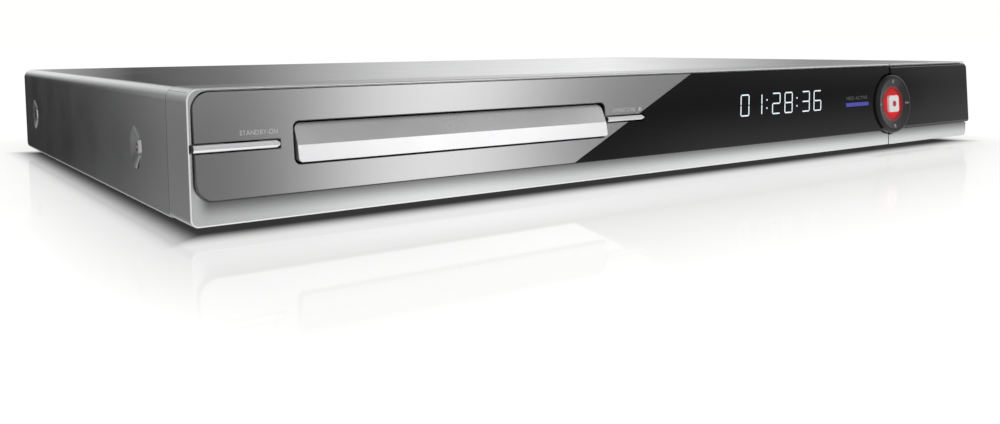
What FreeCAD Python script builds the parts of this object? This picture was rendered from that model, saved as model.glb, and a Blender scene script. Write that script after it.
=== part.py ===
"""Slim disc recorder with a tray, built as an assembly of separate pieces.

Every piece is drawn in one set of coordinates: x runs right from the left end of the front, y runs
back from the bottom front edge, and z runs up from the underside of the body. One placement then
carries all of it to the row frame, whose origin is the bottom centre of the object's box.
"""
import FreeCAD, Part
import math
import os
from types import SimpleNamespace

import Sketcher

Vector = FreeCAD.Vector

# Driving dimensions

SIZES = {
    # Overall
    "overall_width": 435.0,
    "body_depth": 284.5,
    "body_height": 41.5,
    "foot_height": 3.6,
    "front_stand_out": 4.3,
    "rear_stand_out": 8.0,
    # Sheet metal enclosure
    "sheet": 1.0,
    "seam_gap": 0.3,
    "fold_radius": 4.0,
    "low_corner_radius": 3.5,
    "rear_flange": 7.0,
    "dimple_radius": 7.5,
    "dimple_floor_radius": 3.2,
    "dimple_depth": 1.3,
    "dimple_front": 58.5,
    "dimple_rear_inset": 30.5,
    "dimple_level": 19.3,
    "screw_radius": 1.5,
    "screw_head_radius": 2.3,
    "screw_head_height": 1.05,
    "screw_length": 6.5,
    "screw_clearance": 0.3,
    # Front bezel
    "bezel_depth": 21.0,
    "bezel_wall": 2.0,
    "bezel_front_wall": 6.2,
    "bezel_lean": 0.5,
    "bezel_low_radius": 2.5,
    "bezel_edge_radius": 0.5,
    "lip": 1.1,
    "fascia_gap": 0.35,
    # Leaning fascia plate
    "fascia_low": 7.9,
    "fascia_height": 32.7,
    "fascia_overhang": 2.15,
    "fascia_lean": 4.57,
    "fascia_thick": 3.0,
    "fascia_corner": 5.5,
    "tape": 0.1,
    # Tray opening and the two bar buttons
    "tray_slot_left": 32.6,
    "tray_slot_right": 162.4,
    "tray_slot_low": 8.93,
    "tray_slot_high": 22.4,
    "tray_slot_corner": 2.0,
    "standby_right": 28.0,
    "standby_low": 14.45,
    "standby_high": 17.15,
    "open_right": 183.1,
    "open_low": 14.55,
    "open_high": 16.95,
    "bar_proud": 0.9,
    "bar_gap": 0.3,
    "bar_thick": 2.4,
    "stem_width": 10.0,
    "press_gap": 0.7,
    "tilt_gap": 0.5,
    # Display and front boards
    "display_left": 236.0,
    "display_right": 308.0,
    "display_low": 6.0,
    "display_high": 29.0,
    "board_thick": 1.6,
    "front_board_face": 16.0,
    "switch_size": 6.0,
    "switch_height": 3.4,
    "led_left": 320.4,
    "led_right": 339.3,
    "led_low": 13.2,
    "led_high": 15.2,
    # Round pad and the record button
    "pad_from_right": 75.8,
    "pad_level": 13.2,
    "pad_radius": 15.0,
    "pad_proud": 1.9,
    "pad_thick": 4.6,
    "dish_depth": 1.3,
    "dish_width": 5.0,
    "pad_gap": 0.6,
    "cup_floor": 9.0,
    "presser_radius": 11.0,
    "gimbal_behind": 6.0,
    "gimbal_radius": 7.4,
    "gimbal_pin_radius": 0.7,
    "ear_start": 7.9,
    "ear_thick": 1.2,
    "ear_half": 1.6,
    "ring_radius": 8.0,
    "record_size": 8.6,
    # Front door
    "door_width": 76.0,
    "door_gap": 0.3,
    "door_thick": 5.6,
    "door_back_gap": 0.6,
    "hinge_back": 4.5,
    "hinge_up": 4.0,
    "hinge_pin_radius": 0.75,
    "hinge_lug_radius": 2.1,
    "hinge_lug_width": 3.0,
    "socket_wall": 15.0,
    "bay_from_right": 58.2,
    "swing_depth": 11.4,
    "swing_top": 9.5,
    # Fits
    "fit_gap": 0.1,
    "running_fit": 0.05,
    "thread_fit": 0.05,
    # Bottom pan, feet and standoffs
    "pan_low": 0.3,
    "pan_side": 9.5,
    "foot_radius": 10.0,
    "foot_stud_radius": 2.5,
    "foot_inset": 38.0,
    "foot_front": 44.0,
    "post_radius": 3.0,
    "board_level": 6.2,
    # Rear sockets
    "rca_shell_radius": 4.15,
    "rca_plug_radius": 3.35,
    "rca_bore_radius": 1.6,
    "shell_step": 0.25,
    "shell_step_stand_out": 0.3,
    "rca_pitch": 13.0,
    "rca_row_pitch": 14.0,
    "rca_left": 218.0,
    "rca_low_row": 15.0,
    "rca_block_depth": 14.0,
    "scart_left": 259.0,
    "scart_width": 50.0,
    "scart_height": 12.6,
    "scart_row_pitch": 14.8,
    "scart_depth": 24.0,
    "tuner_left": 180.0,
    "tuner_width": 26.0,
    "tuner_depth": 42.0,
    "antenna_radius": 4.75,
    "inlet_left": 20.0,
    "inlet_width": 26.0,
    "inlet_depth": 22.0,
    "inlet_height": 18.0,
    "inlet_pin_pitch": 8.6,
    "inlet_pin_radius": 1.2,
    "inlet_cavity_radius": 4.3,
    # Fan
    "fan_size": 35.0,
    "fan_depth": 10.0,
    "fan_from_right": 90.0,
    "fan_low": 2.6,
    "fan_bore_radius": 16.6,
    "fan_blade_radius": 16.0,
    "fan_hub_radius": 9.0,
    # Disc drive
    "drive_left": 24.5,
    "drive_width": 146.0,
    "drive_front": 24.0,
    "drive_length": 180.0,
    "drive_low": 3.4,
    "drive_wall": 1.5,
    "drive_wall_top": 28.4,
    "drive_sheet": 0.8,
    "spindle_back": 72.0,
    "tray_length": 175.4,
    "tray_front_back": 2.6,
    "tray_side_gap": 0.7,
    "tray_low": 17.5,
    "tray_floor_low": 20.4,
    "tray_small_floor": 22.0,
    "tray_disc_floor": 23.2,
    "tray_top": 25.4,
    "tray_skirt": 2.0,
    "disc_recess_radius": 60.6,
    "small_recess_radius": 40.6,
    "tray_hole_radius": 18.0,
    "gear_module": 1.0,
    "rack_inset": 8.5,
    "gear_front": 36.0,
    "pulley_radius": 8.5,
    "motor_pulley_radius": 2.5,
    "motor_right": 40.0,
    "belt_thick": 1.2,
    "traverse_width": 80.0,
    "traverse_front": 50.0,
    "traverse_pivot": 158.0,
    "traverse_level": 13.2,
    "traverse_thick": 1.6,
    "traverse_turn": 3.6,
    "cam_travel": 18.0,
    "rod_radius": 1.5,
    "rod_spread": 22.0,
    "rod_level": 15.9,
    "screw_spread": 31.0,
    "sled_width": 54.0,
    "sled_length": 24.0,
    "sled_travel": 36.0,
    "lens_back": 25.0,
    "turntable_radius": 15.0,
    "turntable_seat": 24.0,
    "hub_radius": 7.4,
    "hub_top": 25.6,
    "puck_low": 25.3,
    "puck_radius": 13.5,
    "puck_flange_radius": 16.5,
    # Hard disc
    "hdd_from_right": 115.0,
    "hdd_width": 101.6,
    "hdd_length": 147.0,
    "hdd_front": 112.0,
    "hdd_low": 6.2,
    "hdd_base_height": 24.4,
    "platter_radius": 47.5,
    "arm_reach": 44.0,
    "arm_rest_turn": 4.0,
    # Boards
    "main_board_left": 178.0,
    "main_board_front": 60.0,
    "power_board_width": 112.0,
    "power_board_length": 70.0,
    "connector_height": 9.0,
    "ribbon_thick": 0.9,
    "ribbon_bend": 4.0,
}


class Size:
    """A number together with the sheet expression that gives it."""

    def __init__(self, value, text=None):
        self.value = float(value)
        self.text = text if text is not None else f"{float(value):.6f}"

    def _join(self, other, sign, value, swap=False):
        other = size(other)
        first, second = (other, self) if swap else (self, other)
        return Size(value(first.value, second.value), f"({first.text} {sign} {second.text})")

    def __add__(self, other):
        return self._join(other, "+", lambda a, b: a + b)

    def __radd__(self, other):
        return self._join(other, "+", lambda a, b: a + b, swap=True)

    def __sub__(self, other):
        return self._join(other, "-", lambda a, b: a - b)

    def __rsub__(self, other):
        return self._join(other, "-", lambda a, b: a - b, swap=True)

    def __mul__(self, other):
        return self._join(other, "*", lambda a, b: a * b)

    def __rmul__(self, other):
        return self._join(other, "*", lambda a, b: a * b, swap=True)

    def __truediv__(self, other):
        return self._join(other, "/", lambda a, b: a / b)

    def __neg__(self):
        return self * -1


def size(value):
    return value if isinstance(value, Size) else Size(value)


def sine(degrees):
    return Size(math.sin(math.radians(degrees.value)), f"sin({degrees.text} * 1deg)")


def cosine(degrees):
    return Size(math.cos(math.radians(degrees.value)), f"cos({degrees.text} * 1deg)")


def tangent(degrees):
    return Size(math.tan(math.radians(degrees.value)), f"tan({degrees.text} * 1deg)")


doc = FreeCAD.newDocument("disc_recorder")
sheet = doc.addObject("Spreadsheet::Sheet", "Sizes")
for row, (name, number) in enumerate(SIZES.items(), start=1):
    sheet.set(f"A{row}", name)
    sheet.set(f"B{row}", str(number))
    sheet.setAlias(f"B{row}", name)
doc.recompute()
s = SimpleNamespace(**{name: Size(number, f"Sizes.{name}") for name, number in SIZES.items()})

# Where the body stands in the row frame
left = -s.overall_width / 2
front = (s.front_stand_out - s.body_depth - s.rear_stand_out) / 2

PIECES = []


def piece(name, several=False):
    """A body for one named piece, carried to the row frame."""
    body = doc.addObject("PartDesign::Body", name)
    body.Label = name
    body.AllowCompound = several
    body.setExpression("Placement.Base.x", left.text)
    body.setExpression("Placement.Base.y", front.text)
    body.setExpression("Placement.Base.z", s.foot_height.text)
    PIECES.append(body)
    return body


# Sketches: plane names give the two directions that a sketch is drawn in


def sketch(body, plane, level):
    """An empty sketch at a level: xy at a height z, xz at a depth y, yz at a distance x, and front
    at a depth behind the leaning front face, with its v running up that face. The plane named climb
    crosses that face at a distance up it, with its v running straight back from the face."""
    role = {
        "xy": "XY_Plane", "xz": "XZ_Plane", "yz": "YZ_Plane", "front": "XZ_Plane", "climb": "XY_Plane",
    }[plane]
    support = [o for o in body.Origin.OriginFeatures if o.Role == role][0]
    drawing = body.newObject("Sketcher::SketchObject", f"{body.Label}_sketch")
    drawing.AttachmentSupport = [(support, "")]
    drawing.MapMode = "FlatFace"
    level = size(level)
    if plane in ("front", "climb"):
        turned = FreeCAD.Rotation(Vector(1, 0, 0), -s.fascia_lean.value)
        drawing.AttachmentOffset = FreeCAD.Placement(Vector(0, 0, 0), turned)
        drawing.setExpression("AttachmentOffset.Rotation.Angle", (-s.fascia_lean).text)
        if plane == "front":
            deep, up = face_point(level, 0)
            drawing.setExpression("AttachmentOffset.Base.y", up.text)
            drawing.setExpression("AttachmentOffset.Base.z", (-deep).text)
        else:
            deep, up = face_point(0, level)
            drawing.setExpression("AttachmentOffset.Base.y", deep.text)
            drawing.setExpression("AttachmentOffset.Base.z", up.text)
    else:
        along = -level if plane == "xz" else level
        drawing.setExpression("AttachmentOffset.Base.z", along.text)
    return drawing


def face_point(behind, climb):
    """Depth and height of a point behind the leaning front face and a distance up it."""
    deep = size(behind) * cosine(s.fascia_lean) + size(climb) * sine(s.fascia_lean) - s.fascia_overhang
    up = s.fascia_low - size(behind) * sine(s.fascia_lean) + size(climb) * cosine(s.fascia_lean)
    return deep, up


def axis_at(body, plane, level, u, v):
    """An empty sketch whose normal passes through a point, as the axis of a ring of features."""
    drawing = sketch(body, plane, level)
    drawing.setExpression("AttachmentOffset.Base.x", size(u).text)
    drawing.setExpression("AttachmentOffset.Base.y", size(v).text)
    drawing.addGeometry(Part.LineSegment(Vector(0, 0, 0), Vector(1, 0, 0)), True)
    return drawing


def fix(drawing, kind, geometry, point, value):
    """Holds one coordinate of a sketch point to a size."""
    value = size(value)
    number = drawing.addConstraint(Sketcher.Constraint(kind, -1, 1, geometry, point, value.value))
    drawing.setExpression(f"Constraints[{number}]", value.text)


def polygon(*points):
    """An outline of straight edges through points."""

    def draw(drawing):
        corners = [Vector(size(u).value, size(v).value, 0) for u, v in points]
        first = drawing.GeometryCount
        count = len(corners)
        for i in range(count):
            drawing.addGeometry(Part.LineSegment(corners[i], corners[(i + 1) % count]), False)
        for i in range(count):
            drawing.addConstraint(
                Sketcher.Constraint("Coincident", first + i, 2, first + (i + 1) % count, 1)
            )
        for i, (u, v) in enumerate(points):
            fix(drawing, "DistanceX", first + i, 1, u)
            fix(drawing, "DistanceY", first + i, 1, v)

    return draw


def rectangle(u0, u1, v0, v1):
    return polygon((u0, v0), (u1, v0), (u1, v1), (u0, v1))


def rounded(u0, u1, v0, v1, radius):
    """A rectangle whose four corners are arcs."""

    def draw(drawing):
        low_u, high_u, low_v, high_v = (size(n).value for n in (u0, u1, v0, v1))
        r = size(radius).value
        first = drawing.GeometryCount
        ends = [
            ((low_u + r, low_v), (high_u - r, low_v)),
            ((high_u, low_v + r), (high_u, high_v - r)),
            ((high_u - r, high_v), (low_u + r, high_v)),
            ((low_u, high_v - r), (low_u, low_v + r)),
        ]
        centres = [
            (high_u - r, low_v + r),
            (high_u - r, high_v - r),
            (low_u + r, high_v - r),
            (low_u + r, low_v + r),
        ]
        for start, end in ends:
            drawing.addGeometry(Part.LineSegment(Vector(*start, 0), Vector(*end, 0)), False)
        for turn, centre in enumerate(centres):
            circle = Part.Circle(Vector(*centre, 0), Vector(0, 0, 1), r)
            start = math.radians(-90 + 90 * turn)
            drawing.addGeometry(Part.ArcOfCircle(circle, start, start + math.pi / 2), False)
        for i in range(4):
            line, arc, following = first + i, first + 4 + i, first + (i + 1) % 4
            drawing.addConstraint(Sketcher.Constraint("Tangent", line, 2, arc, 1))
            drawing.addConstraint(Sketcher.Constraint("Tangent", arc, 2, following, 1))
            kind = "Horizontal" if i % 2 == 0 else "Vertical"
            drawing.addConstraint(Sketcher.Constraint(kind, line))
            if i:
                drawing.addConstraint(Sketcher.Constraint("Equal", first + 4, arc))
        bound = size(radius)
        number = drawing.addConstraint(Sketcher.Constraint("Radius", first + 4, bound.value))
        drawing.setExpression(f"Constraints[{number}]", bound.text)
        fix(drawing, "DistanceY", first, 1, v0)
        fix(drawing, "DistanceX", first + 1, 1, u1)
        fix(drawing, "DistanceY", first + 2, 1, v1)
        fix(drawing, "DistanceX", first + 3, 1, u0)

    return draw


def disc(u, v, radius):
    def draw(drawing):
        bound = size(radius)
        centre = Vector(size(u).value, size(v).value, 0)
        number = drawing.addGeometry(Part.Circle(centre, Vector(0, 0, 1), bound.value), False)
        fix(drawing, "DistanceX", number, 3, u)
        fix(drawing, "DistanceY", number, 3, v)
        held = drawing.addConstraint(Sketcher.Constraint("Radius", number, bound.value))
        drawing.setExpression(f"Constraints[{held}]", bound.text)

    return draw


# Features: each runs from one level of its plane to a higher one


def add(body, plane, low, high, *outlines):
    """Pads outlines of one sketch from a low level to a high one."""
    drawing = sketch(body, plane, low)
    for outline in outlines:
        outline(drawing)
    pad = body.newObject("PartDesign::Pad", f"{body.Label}_pad")
    pad.Profile = drawing
    pad.Reversed = plane in ("xz", "front")
    pad.setExpression("Length", (size(high) - low).text)
    return pad


def cut(body, plane, low, high, *outlines):
    """Pockets outlines of one sketch from a low level to a high one."""
    drawing = sketch(body, plane, low)
    for outline in outlines:
        outline(drawing)
    pocket = body.newObject("PartDesign::Pocket", f"{body.Label}_pocket")
    pocket.Profile = drawing
    pocket.Reversed = plane not in ("xz", "front")
    pocket.setExpression("Length", (size(high) - low).text)
    return pocket


def edges(body, test):
    """Names of the edges of a body's newest solid whose middle and direction pass a test."""
    doc.recompute()
    found = []
    for number, edge in enumerate(body.Tip.Shape.Edges, start=1):
        low, high = edge.ParameterRange
        middle = edge.valueAt((low + high) / 2)
        direction = edge.tangentAt((low + high) / 2)
        if test(middle, direction):
            found.append(f"Edge{number}")
    assert found, f"no edge of {body.Label} passes the test"
    return found


def fillet(body, radius, test):
    base = body.Tip
    names = edges(body, test)
    feature = body.newObject("PartDesign::Fillet", f"{body.Label}_fillet")
    feature.Base = (base, names)
    feature.setExpression("Radius", size(radius).text)
    return feature


def chamfer(body, width, test, across=None):
    base = body.Tip
    names = edges(body, test)
    feature = body.newObject("PartDesign::Chamfer", f"{body.Label}_chamfer")
    feature.Base = (base, names)
    feature.setExpression("Size", size(width).text)
    if across is not None:
        feature.ChamferType = "Two distances"
        feature.setExpression("Size2", size(across).text)
    return feature


def near(number, bound, margin=0.02):
    return abs(number - size(bound).value) < margin


def along(direction, axis):
    return abs(getattr(direction, axis)) > 0.99


# Levels and places that several pieces share

right = s.overall_width
top = s.body_height
cover_front = s.bezel_depth + s.seam_gap
panel_out = s.body_depth - s.sheet - s.fit_gap
panel_in = panel_out - s.sheet
pan_front = s.bezel_depth + s.seam_gap
pan_back = panel_in - s.fit_gap
pan_top = s.pan_low + s.sheet
dimple_places = (s.dimple_front, s.body_depth - s.dimple_rear_inset)
tab_in = s.dimple_depth + s.sheet + s.fit_gap
foot_places = [
    (across, deep)
    for across in (s.foot_inset, right - s.foot_inset)
    for deep in (s.foot_front, s.body_depth - s.foot_inset)
]
rear_screw_level = top - s.rear_flange / 2
rear_screw_places = (right * 0.08, right * 0.5, right * 0.92)


# Folded steel cover


def cone(body, kind, height, wide, narrow, across, deep, level, turn):
    """A cone whose axis runs across the object, wide end first."""
    feature = body.newObject(f"PartDesign::{kind}Cone", f"{body.Label}_cone")
    feature.setExpression("Radius1", size(wide).text)
    feature.setExpression("Radius2", size(narrow).text)
    feature.setExpression("Height", size(height).text)
    base = Vector(*(size(n).value for n in (across, deep, level)))
    feature.Placement = FreeCAD.Placement(base, FreeCAD.Rotation(Vector(0, 1, 0), turn))
    feature.setExpression("Placement.Base.x", size(across).text)
    feature.setExpression("Placement.Base.y", size(deep).text)
    feature.setExpression("Placement.Base.z", size(level).text)
    return feature


def make_cover():
    body = piece("top_cover")
    add(body, "xz", cover_front, s.body_depth, rectangle(0, right, 0, top))
    fillet(body, s.fold_radius, lambda p, d: along(d, "y") and near(p.z, top))
    half = top.value / 2
    fillet(body, s.low_corner_radius, lambda p, d: along(d, "x") and near(p.y, s.body_depth) and p.z < half)
    fillet(body, 1.5, lambda p, d: near(p.y, s.body_depth) and p.z > top.value - s.fold_radius.value)
    inner = s.sheet
    hollow = rounded(inner, right - inner, -20, top - inner, s.fold_radius - inner)
    cut(body, "xz", s.bezel_depth - 1, s.body_depth - s.sheet, hollow)
    window = rounded(s.rear_flange, right - s.rear_flange, -20, top - s.rear_flange, 2)
    cut(body, "xz", s.body_depth - 4, s.body_depth + 4, window)
    cone_wall = s.sheet * 0.9
    for deep in dimple_places:
        for across, turn in ((size(0), 90), (right, -90)):
            cone(
                body, "Additive", s.dimple_depth + s.sheet, s.dimple_radius + cone_wall,
                s.dimple_floor_radius + cone_wall, across, deep, s.dimple_level, turn,
            )
            cone(
                body, "Subtractive", s.dimple_depth, s.dimple_radius,
                s.dimple_floor_radius, across, deep, s.dimple_level, turn,
            )
    holes = [disc(deep, s.dimple_level, s.screw_radius + s.screw_clearance) for deep in dimple_places]
    cut(body, "yz", -1, right + 1, *holes)
    clearance = s.screw_radius + s.screw_clearance
    holes = [disc(across, rear_screw_level, clearance) for across in rear_screw_places]
    cut(body, "xz", s.body_depth - 4, s.body_depth + 1, *holes)


# Bottom pan with its screw tabs and posts

drive_centre = s.drive_left + s.drive_width / 2
drive_right = s.drive_left + s.drive_width
drive_back = s.drive_front + s.drive_length
drive_posts = [
    (across, deep)
    for across in (s.drive_left + 8, drive_right - 8)
    for deep in (s.drive_front + 8, drive_back - 8)
]
hdd_left = right - s.hdd_from_right
hdd_right = hdd_left + s.hdd_width
hdd_back = s.hdd_front + s.hdd_length
board_back = panel_in - s.fit_gap
power_left = size(8)
power_right = power_left + s.power_board_width
power_front = board_back - s.power_board_length
main_right = hdd_left - 8
main_arm_back = s.hdd_front - 6
board_posts = [
    (power_left + 5, power_front + 5),
    (power_right - 5, power_front + 5),
    (power_right - 5, board_back - 25),
    (s.main_board_left + 5, s.main_board_front + 5),
    (right - 12, s.main_board_front + 5),
    (s.main_board_left + 5, main_arm_back + 20),
    (main_right - 5, main_arm_back + 20),
    (main_right - 5, board_back - 30),
    (s.main_board_left + 5, board_back - 50),
]
board_top = s.board_level + s.board_thick


def make_pan():
    body = piece("chassis_pan")
    low_in = s.sheet + s.fit_gap
    add(body, "xy", s.pan_low, pan_top, rectangle(low_in, right - low_in, pan_front, pan_back))
    for inner, outer in ((low_in, low_in + s.sheet), (right - low_in - s.sheet, right - low_in)):
        add(body, "xy", s.pan_low, s.pan_side, rectangle(inner, outer, pan_front, pan_back))
    for deep in dimple_places:
        for inner in (tab_in, right - tab_in - s.sheet):
            tab = rectangle(inner, inner + s.sheet, deep - 9, deep + 9)
            add(body, "xy", s.pan_low, s.dimple_level + 7, tab)
    holes = [disc(deep, s.dimple_level, s.screw_radius + s.thread_fit) for deep in dimple_places]
    cut(body, "yz", -1, right + 1, *holes)
    posts = [disc(across, deep, s.post_radius) for across, deep in board_posts]
    add(body, "xy", s.pan_low, s.board_level, *posts)
    stud_hole = s.foot_stud_radius + s.running_fit
    cut(body, "xy", -1, 8, *[disc(across, deep, stud_hole) for across, deep in foot_places])
    slot = rounded(hdd_left + 12, hdd_left + 15, s.hdd_front + 20, s.hdd_front + 60, 1.4)
    vents = cut(body, "xy", -1, 4, slot)
    repeat(body, vents, "X", 10, 8)
    slot = rounded(power_left + 50, power_left + 53, power_front + 12, power_front + 42, 1.4)
    vents = cut(body, "xy", -1, 4, slot)
    repeat(body, vents, "X", 10, 6)


def repeat(body, feature, axis, pitch, count):
    """Repeats a feature in a row along an axis of the body, in its positive direction."""
    line = [o for o in body.Origin.OriginFeatures if o.Role == f"{axis}_Axis"][0]
    row = body.newObject("PartDesign::LinearPattern", f"{body.Label}_row")
    row.Originals = [feature]
    row.Direction = (line, [""])
    row.setExpression("Length", (size(pitch) * (count - 1)).text)
    row.Occurrences = count
    body.Tip = row


def repeat_round(body, feature, drawing, count):
    """Repeats a feature round the normal of a sketch."""
    ring = body.newObject("PartDesign::PolarPattern", f"{body.Label}_ring")
    ring.Originals = [feature]
    ring.Axis = (drawing, ["N_Axis"])
    ring.Angle = 360
    ring.Occurrences = count
    body.Tip = ring


def make_feet():
    body = piece("feet", several=True)
    discs = [disc(across, deep, s.foot_radius) for across, deep in foot_places]
    add(body, "xy", -s.foot_height, s.pan_low, *discs)
    fillet(body, 0.8, lambda p, d: near(p.z, -s.foot_height))
    studs = [disc(across, deep, s.foot_stud_radius) for across, deep in foot_places]
    add(body, "xy", s.pan_low, pan_top + 1.5, *studs)


# Rear panel and the sockets on it

rca_columns = [s.rca_left + s.rca_pitch * n for n in range(3)]
rca_rows = [s.rca_low_row + s.rca_row_pitch * n for n in range(2)]
rca_places = [(across, level) for across in rca_columns for level in rca_rows]
scart_lows = [board_top + s.fit_gap + s.scart_row_pitch * n for n in range(2)]
antenna_levels = (board_top + 5.5, board_top + 19.5)
antenna_across = s.tuner_left + s.tuner_width / 2
inlet_low = board_top
inlet_level = inlet_low + s.inlet_height / 2
inlet_across = s.inlet_left + s.inlet_width / 2
fan_left = right - s.fan_from_right
fan_across = fan_left + s.fan_size / 2
fan_level = s.fan_low + s.fan_size / 2
fan_front = panel_in - s.fit_gap - s.fan_depth
step_back = panel_out + s.shell_step_stand_out


def scart_outline(low, margin):
    """The connector's outline, a rectangle with one corner cut off."""
    slant = 5
    bottom = low + 1.2 - margin
    high = low + s.scart_height - 1.2 + margin
    start = s.scart_left + 2 - margin
    end = s.scart_left + s.scart_width - 2 + margin
    return polygon(
        (start, bottom), (end - slant, bottom), (end, bottom + slant), (end, high), (start, high),
    )


def make_rear_panel():
    body = piece("rear_panel")
    edge = s.sheet + s.fit_gap
    plate = rounded(edge, right - edge, s.pan_low, top - edge, s.fold_radius - s.sheet)
    add(body, "xz", panel_in, panel_out, plate)
    holes = [disc(across, level, s.rca_shell_radius + 0.4) for across, level in rca_places]
    holes += [disc(antenna_across, level, s.antenna_radius + 0.4) for level in antenna_levels]
    holes += [scart_outline(low, 0.4) for low in scart_lows]
    gap = 0.3
    holes.append(rectangle(
        s.inlet_left - gap, s.inlet_left + s.inlet_width + gap, inlet_low - gap,
        inlet_low + s.inlet_height + gap,
    ))
    holes += [
        disc(across, rear_screw_level, s.screw_radius + s.thread_fit) for across in rear_screw_places
    ]
    cut(body, "xz", panel_in - 1, panel_out + 1, *holes)
    low = fan_level - 13.6
    slot = rounded(fan_across - 14, fan_across + 14, low, low + 1.8, 0.85)
    repeat(body, cut(body, "xz", panel_in - 1, panel_out + 1, slot), "Z", 3.2, 9)
    slot = rounded(power_left + 52, power_left + 54, 10, 30, 0.95)
    repeat(body, cut(body, "xz", panel_in - 1, panel_out + 1, slot), "X", 5, 20)


def make_rear_sockets():
    body = piece("rear_rca_block")
    edge = s.rca_pitch / 2 - 0.3
    block = rectangle(rca_columns[0] - edge, rca_columns[-1] + edge, board_top, rca_rows[-1] + 6.5)
    face = panel_in - s.fit_gap
    add(body, "xz", face - s.rca_block_depth, face, block)
    shell_end = s.body_depth + s.rear_stand_out
    plugs = [disc(across, level, s.rca_plug_radius) for across, level in rca_places]
    add(body, "xz", face, shell_end - 1.2, *plugs)
    bores = [disc(across, level, s.rca_bore_radius) for across, level in rca_places]
    cut(body, "xz", shell_end - 9.2, shell_end, *bores)

    body = piece("rear_rca_shells", several=True)
    necks = [disc(across, level, s.rca_shell_radius - s.shell_step) for across, level in rca_places]
    shells = [disc(across, level, s.rca_shell_radius) for across, level in rca_places]
    bores = [disc(across, level, s.rca_plug_radius + s.running_fit) for across, level in rca_places]
    add(body, "xz", face, step_back, *necks, *bores)
    add(body, "xz", step_back, shell_end, *shells, *bores)
    chamfer(body, 0.3, lambda p, d: near(p.y, shell_end))

    body = piece("scart_sockets", several=True)
    for low in scart_lows:
        add(body, "xz", face - s.scart_depth, face, rectangle(
            s.scart_left, s.scart_left + s.scart_width, low, low + s.scart_height + 1.2))
        add(body, "xz", face, s.body_depth + 0.6, scart_outline(low, 0))
    for low in scart_lows:
        start = s.scart_left + 6.2
        mid = low + s.scart_height / 2
        rows = (
            rectangle(start, start + 0.9, mid - 3.9, mid - 0.9),
            rectangle(start + 1.9, start + 2.8, mid + 0.9, mid + 3.9),
        )
        for outline in rows:
            slot = cut(body, "xz", s.body_depth - 6, s.body_depth + 1, outline)
            repeat(body, slot, "X", 3.81, 10)

    body = piece("tuner", several=True)
    can = rounded(s.tuner_left, s.tuner_left + s.tuner_width, board_top, board_top + 30, 1)
    add(body, "xz", face - s.tuner_depth, face, can)
    skin = 0.6
    inner = rounded(
        s.tuner_left + skin, s.tuner_left + s.tuner_width - skin, board_top + skin,
        board_top + 30 - skin, skin,
    )
    cut(body, "xz", face - s.tuner_depth + skin, face - skin, inner)

    necks = [disc(antenna_across, level, s.antenna_radius - s.shell_step) for level in antenna_levels]
    sleeves = [disc(antenna_across, level, s.antenna_radius) for level in antenna_levels]
    bores = [disc(antenna_across, level, s.antenna_radius - 0.7) for level in antenna_levels]
    add(body, "xz", face, step_back, *necks)
    add(body, "xz", step_back, s.body_depth + 7, *sleeves)
    cut(body, "xz", face + 1, s.body_depth + 8, *bores)
    pins = [disc(antenna_across, level, 1.15) for level in antenna_levels]
    add(body, "xz", face + 0.5, s.body_depth + 5.5, *pins)

    body = piece("mains_inlet")
    inlet_face = s.body_depth + 0.8
    low, high = inlet_low, inlet_low + s.inlet_height
    add(body, "xz", face - s.inlet_depth, inlet_face, rounded(
        s.inlet_left, s.inlet_left + s.inlet_width, low, high, 1.5))
    cavity = rounded(
        inlet_across - s.inlet_pin_pitch / 2 - s.inlet_cavity_radius,
        inlet_across + s.inlet_pin_pitch / 2 + s.inlet_cavity_radius,
        inlet_level - s.inlet_cavity_radius, inlet_level + s.inlet_cavity_radius,
        s.inlet_cavity_radius - 0.1,
    )
    cut(body, "xz", inlet_face - 13, inlet_face + 1, cavity)
    pin_places = [inlet_across - s.inlet_pin_pitch / 2, inlet_across + s.inlet_pin_pitch / 2]
    cut(body, "xz", inlet_face - 18, inlet_face + 1, *[
        disc(across, inlet_level, s.inlet_pin_radius + 0.01) for across in pin_places])

    body = piece("inlet_pins", several=True)
    add(body, "xz", inlet_face - 17.5, inlet_face - 1.5, *[
        disc(across, inlet_level, s.inlet_pin_radius) for across in pin_places])
    fillet(body, 0.5, lambda p, d: near(p.y, inlet_face - 1.5))


def make_fan():
    body = piece("fan_frame")
    outline = rounded(fan_left, fan_left + s.fan_size, s.fan_low, s.fan_low + s.fan_size, 2)
    bore = disc(fan_across, fan_level, s.fan_bore_radius)
    add(body, "xz", fan_front, fan_front + s.fan_depth, outline, bore)
    arm = 1.4
    reach = s.fan_bore_radius + 0.5
    add(body, "xz", fan_front, fan_front + 1.5,
        rectangle(fan_across - reach, fan_across + reach, fan_level - arm, fan_level + arm))
    add(body, "xz", fan_front, fan_front + 1.5,
        rectangle(fan_across - arm, fan_across + arm, fan_level - reach, fan_level + reach))
    hub = disc(fan_across, fan_level, s.fan_hub_radius)
    add(body, "xz", fan_front, fan_front + 1.5, hub)
    add(body, "xz", fan_front + 1.4, fan_front + 6, disc(fan_across, fan_level, 1.5))

    body = piece("fan_rotor")
    rotor_front = fan_front + 2
    rotor_back = fan_front + s.fan_depth - 0.8
    add(body, "xz", rotor_front, rotor_back, disc(fan_across, fan_level, s.fan_hub_radius))
    blade = add(body, "xz", rotor_front + 1, rotor_back - 0.6, polygon(
        (fan_across - 1.6, fan_level + s.fan_hub_radius - 0.6),
        (fan_across + 1.2, fan_level + s.fan_hub_radius - 0.6),
        (fan_across + 4.2, fan_level + s.fan_blade_radius - 1.2),
        (fan_across + 2.6, fan_level + s.fan_blade_radius - 0.6),
    ))
    repeat_round(body, blade, axis_at(body, "xz", rotor_front, fan_across, fan_level), 7)
    cut(body, "xz", rotor_front - 1, rotor_front + 5, disc(fan_across, fan_level, 1.5 + s.running_fit))


# Front bezel


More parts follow.
